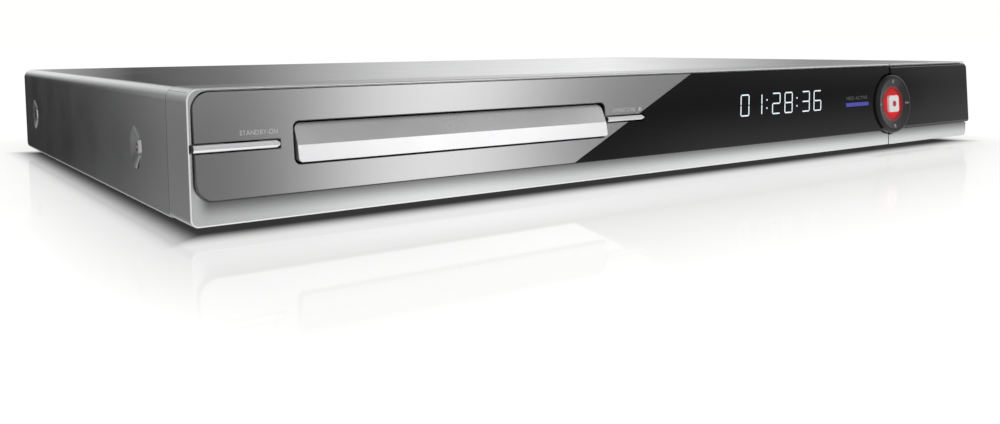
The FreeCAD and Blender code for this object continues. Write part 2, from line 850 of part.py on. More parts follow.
def lean_depth(level, behind):
    """Depth at a height of a plane that lies a distance behind the leaning front face."""
    slope = tangent(s.fascia_lean)
    return slope * (level - s.fascia_low) - s.fascia_overhang + size(behind) / cosine(s.fascia_lean)


def face_level(climb):
    """Height of a point of the leaning face that is a distance up it."""
    return s.fascia_low + size(climb) * cosine(s.fascia_lean)


fascia_high = face_level(s.fascia_height)
recess_low = s.fascia_low - s.fascia_gap
recess_high = fascia_high + s.fascia_gap
recess_behind = s.fascia_thick + s.tape
split = right - s.door_width
pad_across = right - s.pad_from_right
pad_height = face_level(s.pad_level)
cup_radius = s.pad_radius + s.pad_gap + 1.0
door_clear = s.door_thick + s.door_back_gap
bay_left = right - s.bay_from_right
lug_places = (right - 54.0, right - 10.5)
ring_hole = s.ring_radius + s.running_fit
ear_starts = (s.ear_start, -s.ear_start - s.ear_thick)
pin_end = s.ear_start + s.ear_thick + 0.1
standby_stem = (s.standby_right - 16, s.standby_right - 6)
open_stem = (s.tray_slot_right + 7, s.tray_slot_right + 17)
pressers = [
    (pad_across, s.pad_level + s.presser_radius),
    (pad_across, s.pad_level - s.presser_radius),
    (pad_across + s.presser_radius, s.pad_level),
    (pad_across - s.presser_radius, s.pad_level),
]
board_bosses = [
    (s.tray_slot_right + 24, -0.5),
    (s.tray_slot_right + 24, s.fascia_height - 5),
    (s.display_right + 6, -0.5),
    (s.display_right + 6, s.fascia_height - 5),
    (size(8), -0.5),
    (s.standby_right - 4, -0.5),
]


def recess(body, start):
    """Takes away what is in front of the plane that the fascia is taped to, from start rightwards."""
    cut(body, "front", -8, recess_behind, rounded(
        start, right + 20, -s.fascia_gap, s.fascia_height + s.fascia_gap,
        s.fascia_corner + s.fascia_gap))


def make_bezel():
    body = piece("front_bezel")
    add(body, "yz", 0, right, polygon(
        (0, 0), (s.bezel_depth, 0), (s.bezel_depth, top), (s.bezel_lean, top)))
    fillet(body, s.fold_radius, lambda p, d: along(d, "y") and near(p.z, top))
    fillet(body, s.bezel_low_radius, lambda p, d: along(d, "y") and near(p.z, 0))
    fillet(body, s.bezel_edge_radius, lambda p, d: near(p.x, 0) and p.y < 1 and abs(d.z) > 0.9)
    recess(body, s.lip)
    wall = s.bezel_wall
    hollow = rounded(wall, right - wall, wall, top - wall, s.fold_radius - wall)
    cut(body, "xz", s.bezel_front_wall, s.bezel_depth + 1, hollow)
    cup = disc(pad_across, s.pad_level, cup_radius)
    add(body, "front", recess_behind, s.cup_floor + 1.6, cup)
    swing, swing_top = s.swing_depth, s.swing_top
    lower_wall = polygon(
        (door_clear, swing_top - 2), (door_clear, top - 1), (door_clear + 2, top - 1),
        (door_clear + 2, swing_top + 1.5), (swing + 1.6, swing_top + 1.5), (swing + 1.6, 0.5),
        (swing, 0.5), (swing, swing_top - 2),
    )
    add(body, "yz", split - 2, bay_left + 1.6, lower_wall)
    cut(body, "yz", split, right + 1, polygon(
        (-6, -1), (swing, -1), (swing, swing_top), (door_clear, swing_top), (door_clear, top + 1),
        (-6, top + 1),
    ))
    bay_back = s.socket_wall
    add(body, "xz", bay_back, bay_back + 2, rectangle(bay_left, right - 1, 1, top - 1))
    add(body, "xz", door_clear, bay_back + 1, rectangle(bay_left, bay_left + 1.6, swing_top, top - 1))
    add(body, "xz", swing, swing + 1.6, rectangle(bay_left, right - 1, 0.5, swing_top))
    add(body, "xz", swing, bay_back + 1, rectangle(bay_left, right - 1, swing_top - 1.5, swing_top))
    for across in lug_places:
        add(body, "yz", across, across + s.hinge_lug_width, rectangle(
            s.hinge_back, swing + 0.5, s.hinge_up - s.hinge_lug_radius, s.hinge_up + s.hinge_lug_radius))
        add(body, "yz", across, across + s.hinge_lug_width,
            disc(s.hinge_back, s.hinge_up, s.hinge_lug_radius))
    pin_bore = disc(s.hinge_back, s.hinge_up, s.hinge_pin_radius + s.running_fit)
    cut(body, "yz", bay_left, right - 3, pin_bore)
    cut_socket_wall(body)
    # Openings behind the fascia
    cut(body, "front", -4, s.cup_floor, disc(pad_across, s.pad_level, s.pad_radius + s.pad_gap))
    floor_holes = [disc(pad_across, s.pad_level, 4.2)]
    floor_holes += [disc(across, climb, 2.2) for across, climb in pressers]
    cut(body, "front", s.cup_floor - 1, s.cup_floor + 3.6, *floor_holes)
    clear = s.switch_size / 2 + 0.3
    cut(body, "front", s.front_board_face - s.switch_height - 0.3, s.front_board_face, *[
        rectangle(u - clear, u + clear, v - clear, v + clear) for u, v in pressers])
    more = 0.4
    cut(body, "front", -4, 9, rounded(
        s.tray_slot_left - more, s.tray_slot_right + more, s.tray_slot_low - more,
        s.tray_slot_high + more, s.tray_slot_corner))
    for low, high, (start, end) in (
        (s.standby_low, s.standby_high, standby_stem),
        (s.open_low, s.open_high, open_stem),
    ):
        cut(body, "front", 1, 9, rectangle(start - more, end + more, low, high))
    notch = rectangle(s.lip - 0.8, s.lip + 3, s.standby_low, s.standby_high)
    cut(body, "front", -4, s.fascia_thick + 0.6, notch)
    cut(body, "front", 1, 9, rectangle(
        s.display_left, s.display_right, s.display_low, s.display_high))
    cut(body, "front", 1, 12, rectangle(
        s.led_left - more, s.led_right + more, s.led_low - more, s.led_high + more))
    bosses = [disc(across, climb, 2.4) for across, climb in board_bosses]
    add(body, "front", recess_behind + 0.6, s.front_board_face, *bosses)
    half = s.ear_half
    posts = [
        rectangle(
            pad_across + inner, pad_across + inner + s.ear_thick, s.pad_level - half,
            s.pad_level + half,
        )
        for inner in ear_starts
    ]
    add(body, "front", s.gimbal_behind - half, s.cup_floor + 0.5, *posts)
    cut(body, "yz", pad_across - pin_end, pad_across + pin_end, disc(
        *face_point(s.gimbal_behind, s.pad_level), s.gimbal_pin_radius + s.running_fit))


def make_fascia():
    body = piece("fascia_plate")
    start = s.lip + s.fascia_gap
    add(body, "front", 0, s.fascia_thick, rectangle(start, split, 0, s.fascia_height))
    fillet(body, s.fascia_corner, lambda p, d: near(p.x, start) and abs(d.y) > 0.9)
    cut(body, "front", -1, s.fascia_thick + 1, disc(pad_across, s.pad_level, s.pad_radius + s.pad_gap))
    cut(body, "front", -1, s.fascia_thick + 1, rounded(
        s.tray_slot_left, s.tray_slot_right, s.tray_slot_low, s.tray_slot_high, s.tray_slot_corner))
    cut(body, "front", -1, s.fascia_thick + 1, rounded(
        s.lip - 3, s.standby_right, s.standby_low, s.standby_high, s.bar_gap * 3))
    bar_slot = polygon(
        (s.tray_slot_right - 1, s.open_low), (s.open_right - 1.4, s.open_low),
        (s.open_right, s.open_low + 0.9), (s.open_right - 1.2, s.open_high),
        (s.tray_slot_right - 1, s.open_high),
    )
    cut(body, "front", -1, s.fascia_thick + 1, bar_slot)
    cut(body, "front", -1, s.fascia_thick + 1, rectangle(
        s.led_left, s.led_right, s.led_low, s.led_high))
    chamfer(body, 0.25, lambda p, d: near(depth_behind(p), 0, 0.005))


def depth_behind(point):
    """How far a point of a shape lies behind the leaning front face."""
    turn = math.radians(s.fascia_lean.value)
    up = point.z - s.fascia_low.value
    back = point.y + s.fascia_overhang.value
    return back * math.cos(turn) - up * math.sin(turn)


# Flip-down door in front of the sockets


def make_door():
    body = piece("front_door")
    start = split + s.door_gap
    add(body, "yz", start, right, polygon(
        (0, 0), (s.door_thick, 0), (s.door_thick, top), (s.bezel_lean, top)))
    fillet(body, s.fold_radius, lambda p, d: along(d, "y") and near(p.z, top) and near(p.x, right))
    fillet(body, s.bezel_low_radius, lambda p, d: along(d, "y") and near(p.z, 0) and near(p.x, right))
    recess(body, start - 20)
    notch = s.pad_radius + s.pad_gap + 0.4
    cut(body, "front", -6, recess_behind, disc(pad_across, s.pad_level, notch))
    notch = cup_radius + 0.5
    cut(body, "front", recess_behind - 0.4, s.door_thick + 8, disc(pad_across, s.pad_level, notch))
    beside = 0.4
    clear = s.hinge_lug_radius + 0.3
    for across in lug_places:
        cut(body, "yz", across - beside, across + s.hinge_lug_width + beside, rectangle(
            s.hinge_back - clear, s.door_thick + 1, -1, s.hinge_up + clear))
    pins = disc(s.hinge_back, s.hinge_up, s.hinge_pin_radius + 0.01)
    cut(body, "yz", lug_places[0] - 3, lug_places[1] + s.hinge_lug_width + 3, pins)
    chamfer(body, 0.35, lambda p, d: near(p.y, s.bezel_lean, 0.1) and near(p.z, top) and along(d, "x"))

    body = piece("door_fascia")
    add(body, "front", 0, s.fascia_thick, rectangle(start, right, 0, s.fascia_height))
    fillet(body, 3, lambda p, d: near(p.x, right) and abs(d.y) > 0.9 and p.z > 20)
    fillet(body, 1.5, lambda p, d: near(p.x, right) and abs(d.y) > 0.9 and p.z < 20)
    cut(body, "front", -1, s.fascia_thick + 1, disc(pad_across, s.pad_level, s.pad_radius + s.pad_gap))
    fillet(body, 1.1, lambda p, d: near(p.x, right) and near(depth_behind(p), 0, 0.005) and abs(d.z) > 0.9)

    body = piece("door_hinge_pins", several=True)
    for across in lug_places:
        add(body, "yz", across - 3, across + s.hinge_lug_width + 3,
            disc(s.hinge_back, s.hinge_up, s.hinge_pin_radius))


# Bar buttons, round pad and record button


def make_bars():
    body = piece("standby_button")
    gap = s.bar_gap
    low, high = s.standby_low + gap, s.standby_high - gap
    start = s.lip
    switch_face = s.front_board_face - s.switch_height
    end = s.standby_right - gap
    add(body, "front", -s.bar_proud, s.bar_thick, polygon(
        (start, low), (end - 0.8, low), (end, low + 0.7), (end, high - 0.7), (end - 0.8, high), (start, high)))
    chamfer(body, 0.7, lambda p, d: near(depth_behind(p), -s.bar_proud.value, 0.005) and along(d, "x"))
    stem = rectangle(standby_stem[0], standby_stem[1], low + 0.1, high - 0.1)
    add(body, "front", s.bar_thick, switch_face - s.press_gap, stem)

    body = piece("open_close_button")
    low, high = s.open_low + gap, s.open_high - gap
    start = s.tray_slot_right + 0.9
    end = s.open_right - gap
    add(body, "front", -s.bar_proud, s.bar_thick, polygon(
        (start, low), (end - 1.4, low), (end, low + 0.7), (end - 1.1, high), (start, high)))
    chamfer(body, 0.6, lambda p, d: near(depth_behind(p), -s.bar_proud.value, 0.005) and along(d, "x"))
    stem = rectangle(open_stem[0], open_stem[1], low + 0.1, high - 0.1)
    add(body, "front", s.bar_thick, switch_face - s.press_gap, stem)


def on_ring_hole(point):
    """Whether a point is on the front edge of the hole in the round pad."""
    turn = math.radians(s.fascia_lean.value)
    back = point.y + s.fascia_overhang.value
    up = point.z - s.fascia_low.value
    climb = back * math.sin(turn) + up * math.cos(turn)
    from_centre = math.hypot(point.x - pad_across.value, climb - s.pad_level.value)
    return near(depth_behind(point), -s.pad_proud.value, 0.005) and near(from_centre, ring_hole)


def make_pad():
    body = piece("nav_pad")
    back = s.pad_thick - s.pad_proud
    switch_face = s.front_board_face - s.switch_height
    add(body, "front", -s.pad_proud, back, disc(pad_across, s.pad_level, s.pad_radius))
    fillet(body, 1.4, lambda p, d: near(depth_behind(p), -s.pad_proud.value, 0.005))
    cut(body, "front", -s.pad_proud - 1, back + 1, disc(pad_across, s.pad_level, ring_hole))
    chamfer(body, s.dish_width, lambda p, d: on_ring_hole(p), across=s.dish_depth)
    add(body, "front", back, switch_face - s.tilt_gap, *[disc(u, v, 1.5) for u, v in pressers])
    half = s.ear_half
    ears = [
        rectangle(
            pad_across - half, pad_across + half, s.pad_level + inner,
            s.pad_level + inner + s.ear_thick,
        )
        for inner in ear_starts
    ]
    add(body, "front", back, s.gimbal_behind + half, *ears)
    cut(body, "climb", s.pad_level - pin_end, s.pad_level + pin_end, disc(
        pad_across, s.gimbal_behind, s.gimbal_pin_radius + s.running_fit))

    body = piece("nav_gimbal")
    rim = disc(pad_across, s.pad_level, s.gimbal_radius)
    inside = disc(pad_across, s.pad_level, s.gimbal_radius - 1.8)
    add(body, "front", s.gimbal_behind - 1, s.gimbal_behind + 1, rim, inside)
    reach = pin_end - 0.2
    pin = s.gimbal_pin_radius
    for start, end in ((-reach, 0.5 - s.gimbal_radius), (s.gimbal_radius - 0.5, reach)):
        add(body, "yz", pad_across + start, pad_across + end,
            disc(*face_point(s.gimbal_behind, s.pad_level), pin))
        add(body, "climb", s.pad_level + start, s.pad_level + end,
            disc(pad_across, s.gimbal_behind, pin))

    body = piece("record_light_ring")
    ring_face = s.dish_depth + 0.1 - s.pad_proud
    add(body, "front", ring_face, back, disc(pad_across, s.pad_level, s.ring_radius))
    fillet(body, 0.5, lambda p, d: near(depth_behind(p), ring_face.value, 0.005))
    half = s.record_size / 2
    hole = half + 0.2
    cut(body, "front", -3, back + 1, rounded(
        pad_across - hole, pad_across + hole, s.pad_level - hole, s.pad_level + hole, 1.6))

    body = piece("record_button")
    record_face = 0.2 - s.pad_proud
    add(body, "front", record_face, back, rounded(
        pad_across - half, pad_across + half, s.pad_level - half, s.pad_level + half, 1.5))
    fillet(body, 0.5, lambda p, d: near(depth_behind(p), record_face.value, 0.005))
    add(body, "front", back, switch_face - s.press_gap, disc(pad_across, s.pad_level, 1.6))


def make_front_boards():
    body = piece("front_boards", several=True)
    face, back = s.front_board_face, s.front_board_face + s.board_thick
    add(body, "front", face, back, rectangle(
        s.tray_slot_right + 6, bay_left - 1.0, -3.5, s.fascia_height - 3))
    add(body, "front", face, back, rectangle(s.bezel_wall + 1, s.tray_slot_left - 1, -3.5, 22))
    add(body, "xz", socket_board_face, socket_board_face + s.board_thick, rectangle(
        bay_left + 1, right - 4, 4, top - 5))

    body = piece("tact_switches", several=True)
    half = s.switch_size / 2
    centres = [(pad_across, s.pad_level)] + pressers
    centres.append(((standby_stem[0] + standby_stem[1]) / 2, (s.standby_low + s.standby_high) / 2))
    centres.append(((open_stem[0] + open_stem[1]) / 2, (s.open_low + s.open_high) / 2))
    add(body, "front", face - s.switch_height + 0.8, face, *[
        rectangle(u - half, u + half, v - half, v + half) for u, v in centres])
    add(body, "front", face - s.switch_height, face - s.switch_height + 0.8, *[
        disc(u, v, 1.7) for u, v in centres])

    body = piece("display_tube")
    inset = 0.6
    add(body, "front", 7, face, rounded(
        s.display_left + inset, s.display_right - inset, s.display_low + inset,
        s.display_high - inset, 1))

    body = piece("hdd_light_bar")
    add(body, "front", 0, face, rectangle(
        s.led_left + 0.06, s.led_right - 0.06, s.led_low + 0.06, s.led_high - 0.06))


# Sockets behind the door

socket_across = [right - 49.5, right - 33.0, right - 16.5]
socket_rows = (14.5, 28.5)
socket_board_face = s.socket_wall + 2 + s.fit_gap


def cut_socket_wall(body):
    """Openings of the wall behind the door for the sockets that pass through it."""
    wall, back = s.socket_wall - 1, s.socket_wall + 3
    low, high = socket_rows
    holes = [disc(across, low, s.rca_shell_radius + 0.3) for across in socket_across]
    holes.append(disc(socket_across[2], high, 5.3))
    holes.append(rectangle(socket_across[0] - 6.9, socket_across[0] + 6.9, high - 3.3, high + 3.3))
    holes.append(rectangle(socket_across[1] - 4.3, socket_across[1] + 4.3, high - 2.6, high + 2.6))
    cut(body, "xz", wall, back, *holes)


def make_front_sockets():
    low, high = socket_rows
    face = socket_board_face
    mouth = door_clear + 0.6

    body = piece("front_rca_shells", several=True)
    step = s.socket_wall - s.shell_step_stand_out
    shells = [disc(u, low, s.rca_shell_radius) for u in socket_across]
    necks = [disc(u, low, s.rca_shell_radius - s.shell_step) for u in socket_across]
    bores = [disc(u, low, s.rca_plug_radius + s.running_fit) for u in socket_across]
    add(body, "xz", mouth, step, *shells, *bores)
    add(body, "xz", step, face, *necks, *bores)

    body = piece("front_rca_plugs", several=True)
    add(body, "xz", mouth + 1, face, *[disc(u, low, s.rca_plug_radius) for u in socket_across],
        *[disc(u, low, s.rca_bore_radius) for u in socket_across])

    body = piece("serial_sockets", several=True)
    u = socket_across[0]
    add(body, "xz", mouth + 5, face, rectangle(u - 6.6, u + 6.6, high - 3.0, high + 3.0))
    cut(body, "xz", mouth, face - 1.5, rectangle(u - 6.2, u + 6.2, high - 2.6, high + 2.6))
    add(body, "xz", mouth + 6.5, face - 1.5, rectangle(u - 5.6, u + 5.6, high + 0.3, high + 2.1))

    u = socket_across[1]
    add(body, "xz", mouth + 5, face, rectangle(u - 4.0, u + 4.0, high - 2.3, high + 2.3))
    cut(body, "xz", mouth, face - 1.5, rectangle(u - 2.9, u + 2.9, high - 1.5, high + 1.5))

    body = piece("s_video_socket")
    u = socket_across[2]
    add(body, "xz", mouth + 2, face, disc(u, high, 5.0))
    cut(body, "xz", mouth, mouth + 7, disc(u, high, 4.5))
    add(body, "xz", mouth + 3, mouth + 7.5, disc(u, high, 3.5))
    pins = [disc(u + a, high + b, 0.5) for a, b in ((-2, 0.6), (2, 0.6), (-1, -1.6), (1, -1.6))]
    cut(body, "xz", mouth, mouth + 5.5, *pins)


# Disc drive

tray_left = s.tray_slot_left + s.tray_side_gap
tray_right = s.tray_slot_right - s.tray_side_gap
tray_back = s.tray_front_back + s.tray_length
spindle_across = (tray_left + tray_right) / 2
pitch_radius = s.gear_module * 8
rack_root = tray_left + s.rack_inset
rack_pitch = rack_root + s.gear_module * 1.25
gear_across = rack_pitch + pitch_radius + 0.08
tooth_pitch = s.gear_module * math.pi
rack_teeth = 47
cover_sheet_low = s.drive_wall_top + 0.2
wall_out = s.drive_left + s.drive_sheet + s.fit_gap
wall_out_right = drive_right - s.drive_sheet - s.fit_gap
gear_low = s.tray_low + 0.2
pulley_low = gear_low - 3.4
motor_across = gear_across + s.motor_right
pivot_left = spindle_across - s.traverse_width / 2
pivot_right = spindle_across + s.traverse_width / 2
pivot_level = s.traverse_level + s.traverse_thick / 2
screw_across = spindle_across + s.screw_spread
cam_back = s.traverse_front - 1.0
cam_drop = (s.traverse_pivot - cam_back) * sine(s.traverse_turn)


def make_tray():
    body = piece("disc_tray")
    start = s.tray_front_back + s.fit_gap
    add(body, "xy", s.tray_low, s.tray_top, rectangle(tray_left, tray_right, start, tray_back))
    skirt = s.tray_skirt
    cut(body, "xy", s.tray_low - 1, s.tray_floor_low, rectangle(
        tray_left + skirt, tray_right - skirt, start + 3, tray_back + 1))
    add(body, "xy", s.tray_low, s.tray_floor_low + 0.5, rectangle(
        rack_root - 2, rack_root, start + 2, tray_back))
    cut(body, "xy", s.tray_disc_floor, s.tray_top + 1, disc(
        spindle_across, s.spindle_back, s.disc_recess_radius))
    cut(body, "xy", s.tray_small_floor, s.tray_top + 1, disc(
        spindle_across, s.spindle_back, s.small_recess_radius))
    cut(body, "xy", s.tray_low - 1, s.tray_top + 1, disc(
        spindle_across, s.spindle_back, s.tray_hole_radius))
    cut(body, "xy", s.tray_low - 1, s.tray_top + 1, rectangle(
        spindle_across - s.tray_hole_radius, spindle_across + s.tray_hole_radius,
        s.spindle_back, tray_back + 1))
    add(body, "xz", start, start + 1.6, rectangle(
        tray_left + 2, tray_right - 2, s.tray_low, face_level(s.tray_slot_high) - 2.5))
    pitch_line_half = tooth_pitch / 4 - 0.07
    slope = math.tan(math.radians(20))
    first = s.gear_front - tooth_pitch * 2.5
    root_half = pitch_line_half + s.gear_module * 1.25 * slope
    tip_half = pitch_line_half - s.gear_module * slope
    tooth = add(body, "xy", gear_low, s.tray_floor_low + 0.5, polygon(
        (rack_root - 0.5, first - root_half), (rack_root, first - root_half),
        (rack_pitch + s.gear_module, first - tip_half), (rack_pitch + s.gear_module, first + tip_half),
        (rack_root, first + root_half), (rack_root - 0.5, first + root_half),
    ))
    repeat(body, tooth, "Y", tooth_pitch, rack_teeth)

    body = piece("tray_front")
    low = face_level(s.tray_slot_low) + s.tray_side_gap
    high = face_level(s.tray_slot_high) - s.tray_side_gap
    ridge = low + 5.3
    low_proud, ridge_proud, set_back = 1.8, 1.15, 1.6
    add(body, "yz", tray_left, tray_right, polygon(
        (lean_depth(low, -low_proud), low), (s.tray_front_back, low), (s.tray_front_back, high),
        (lean_depth(high, set_back), high), (lean_depth(ridge, -ridge_proud), ridge),
    ))
    fillet(body, 2.2, lambda p, d: along(d, "y") and near(p.z, high))
    fillet(body, 1.2, lambda p, d: along(d, "y") and near(p.z, low))


def make_drive_gear():
    body = piece("drive_gear")
    high = gear_low + 2.6
    m = s.gear_module
    add(body, "xy", gear_low, high, disc(gear_across, s.gear_front, m * 6.6))
    base = 8 * math.cos(math.radians(20))
    involute = math.tan(math.radians(20)) - math.radians(20)
    half = math.pi / 4 / 8 - 0.07 / 8

    def flank(radius):
        """Half the tooth's angle at a radius given in modules."""
        if radius <= base:
            return half + involute
        pressure = math.acos(base / radius)
        return half + involute - (math.tan(pressure) - pressure)

    radii = (6.3, base, 8.0, 8.5, 9.0)
    side = [(radius, flank(radius)) for radius in radii]
    outline = side + [(radius, -angle) for radius, angle in reversed(side)]
    tooth = add(body, "xy", gear_low, high, polygon(*[
        (gear_across - m * radius * math.cos(angle), s.gear_front + m * radius * math.sin(angle))
        for radius, angle in outline]))
    repeat_round(body, tooth, axis_at(body, "xy", gear_low, gear_across, s.gear_front), 16)
    add(body, "xy", pulley_low, gear_low, disc(gear_across, s.gear_front, s.pulley_radius))
    groove = s.pulley_radius - 1.0
    cut(body, "xy", pulley_low + 0.9, pulley_low + 2.5,
        disc(gear_across, s.gear_front, s.pulley_radius + 1), disc(gear_across, s.gear_front, groove))
    cut(body, "xy", pulley_low - 1, high + 1, disc(gear_across, s.gear_front, 1.5 + s.running_fit))

    body = piece("motor_pulley")
    rim = disc(motor_across, s.gear_front, s.motor_pulley_radius + 1)
    add(body, "xy", pulley_low, pulley_low + 3.4, rim)
    cut(body, "xy", pulley_low + 0.9, pulley_low + 2.5,
        disc(motor_across, s.gear_front, s.motor_pulley_radius + 2),
        disc(motor_across, s.gear_front, s.motor_pulley_radius))
    cut(body, "xy", pulley_low - 1, pulley_low + 5, disc(motor_across, s.gear_front, 0.75 + s.running_fit))

    body = piece("loading_motor")
    add(body, "xy", s.drive_low + s.drive_wall, pulley_low - 0.4, disc(motor_across, s.gear_front, 9))
    add(body, "xy", pulley_low - 0.4, pulley_low + 3.0, disc(motor_across, s.gear_front, 0.75))

    make_belt(groove)


def make_belt(groove):
    """A flat band round both pulleys: two arcs and the two straight runs that touch them."""
    inner_big = groove + 0.12
    inner_small = s.motor_pulley_radius + 0.12
    body = piece("loading_belt")
    low, high = pulley_low + 1.1, pulley_low + 2.3

    def band(drawing, grow):
        big = (inner_big + grow).value
        small = (inner_small + grow).value
        span = (motor_across - gear_across).value
        lean = math.asin((big - small) / span)
        y = s.gear_front.value
        centres = (gear_across.value, motor_across.value)
        ends = []
        for x, radius in zip(centres, (big, small)):
            up = Vector(x + radius * math.sin(lean), y + radius * math.cos(lean), 0)
            down = Vector(up.x, 2 * y - up.y, 0)
            ends.append((up, down))
        first = drawing.GeometryCount
        circle = Part.Circle(Vector(centres[0], y, 0), Vector(0, 0, 1), big)
        begin = math.pi / 2 - lean
        drawing.addGeometry(Part.ArcOfCircle(circle, begin, 2 * math.pi - begin), False)
        drawing.addGeometry(Part.LineSegment(ends[0][1], ends[1][1]), False)
        circle = Part.Circle(Vector(centres[1], y, 0), Vector(0, 0, 1), small)
        drawing.addGeometry(Part.ArcOfCircle(circle, -begin, begin), False)
        drawing.addGeometry(Part.LineSegment(ends[1][0], ends[0][0]), False)
        for i, (a, pa, b, pb) in enumerate(((0, 2, 1, 1), (1, 2, 2, 1), (2, 2, 3, 1), (3, 2, 0, 1))):
            drawing.addConstraint(Sketcher.Constraint("Tangent", first + a, pa, first + b, pb))
        for arc, x, radius in ((0, gear_across, inner_big + grow), (2, motor_across, inner_small + grow)):
            fix(drawing, "DistanceX", first + arc, 3, x)
            fix(drawing, "DistanceY", first + arc, 3, s.gear_front)
            held = drawing.addConstraint(Sketcher.Constraint("Radius", first + arc, size(radius).value))
            drawing.setExpression(f"Constraints[{held}]", size(radius).text)

    outer = lambda drawing: band(drawing, s.belt_thick)
    inner = lambda drawing: band(drawing, size(0))
    add(body, "xy", low, high, outer, inner)


def make_drive_frame():
    body = piece("drive_base")
    wall = s.drive_wall
    floor_top = s.drive_low + wall
    front_end = s.drive_front
    add(body, "xy", s.drive_low, floor_top, rectangle(wall_out, wall_out_right, front_end, drive_back))
    cut(body, "xy", s.drive_low - 1, floor_top + 1, rectangle(
        pivot_left - 2, pivot_right + 2, s.traverse_front + 4, s.traverse_pivot + 8))
    for inner, outer in ((wall_out, wall_out + wall), (wall_out_right - wall, wall_out_right)):
        add(body, "xy", s.drive_low, s.drive_wall_top, rectangle(inner, outer, front_end, drive_back))
    add(body, "xy", s.drive_low, s.drive_wall_top, rectangle(
        wall_out, wall_out_right, drive_back - wall, drive_back))
    ledge_high = s.tray_low - 0.2
    for inner, outer in ((wall_out, tray_left + 1.6), (tray_right - 1.6, wall_out_right)):
        add(body, "xy", ledge_high - 2, ledge_high, rectangle(inner, outer, front_end, drive_back))
    for inner, outer in ((wall_out, tray_left - 0.25), (tray_right + 0.25, wall_out_right)):
        add(body, "xy", ledge_high - 2, s.tray_low + 5, rectangle(inner, outer, front_end, drive_back))
    add(body, "xy", s.drive_low, pulley_low - 0.3, disc(gear_across, s.gear_front, 3))
    add(body, "xy", s.drive_low, gear_low + 2.4, disc(gear_across, s.gear_front, 1.5))
    for across in (pivot_left - 5.4, pivot_right + 2.4):
        add(body, "yz", across, across + 3, rectangle(
            s.traverse_pivot - 4, s.traverse_pivot + 4, s.drive_low, pivot_level + 4))
    pivot_hole = disc(s.traverse_pivot, pivot_level, 1.5 + s.running_fit)
    cut(body, "yz", pivot_left - 6, pivot_right + 6, pivot_hole)
    for across in (pivot_left - 5.4, pivot_right + 2.4):
        add(body, "xy", s.drive_low, floor_top, rectangle(
            across - 3, across + 3.5, s.traverse_pivot - 4, s.traverse_pivot + 9))
    posts = [disc(across, deep, 4) for across, deep in drive_posts]
    add(body, "xy", pan_top, s.drive_low, *posts)

    body = piece("drive_cover")
    sheet_thick = s.drive_sheet
    add(body, "xy", 10, cover_sheet_low + sheet_thick, rectangle(
        s.drive_left, drive_right, s.drive_front, drive_back + 1))
    cut(body, "xy", 9, cover_sheet_low, rectangle(
        s.drive_left + sheet_thick, drive_right - sheet_thick, s.drive_front - 1, drive_back + 0.2))
    cut(body, "xy", 9, cover_sheet_low - 4, rectangle(
        s.drive_left + 20, drive_right - 2, drive_back - 1, drive_back + 2))
    cut(body, "xy", cover_sheet_low - 1, cover_sheet_low + 2, disc(
        spindle_across, s.spindle_back, s.puck_radius + 0.8))

    body = piece("clamp_puck")
    seat = cover_sheet_low + sheet_thick + 0.2
    add(body, "xy", s.puck_low, seat, disc(spindle_across, s.spindle_back, s.puck_radius))
    add(body, "xy", seat, seat + 1.8, disc(spindle_across, s.spindle_back, s.puck_flange_radius))
    cut(body, "xy", s.puck_low - 1, s.puck_low + 1.6, disc(
        spindle_across, s.spindle_back, s.hub_radius + 1.4))
    chamfer(body, 0.5, lambda p, d: near(p.z, seat + 1.8))


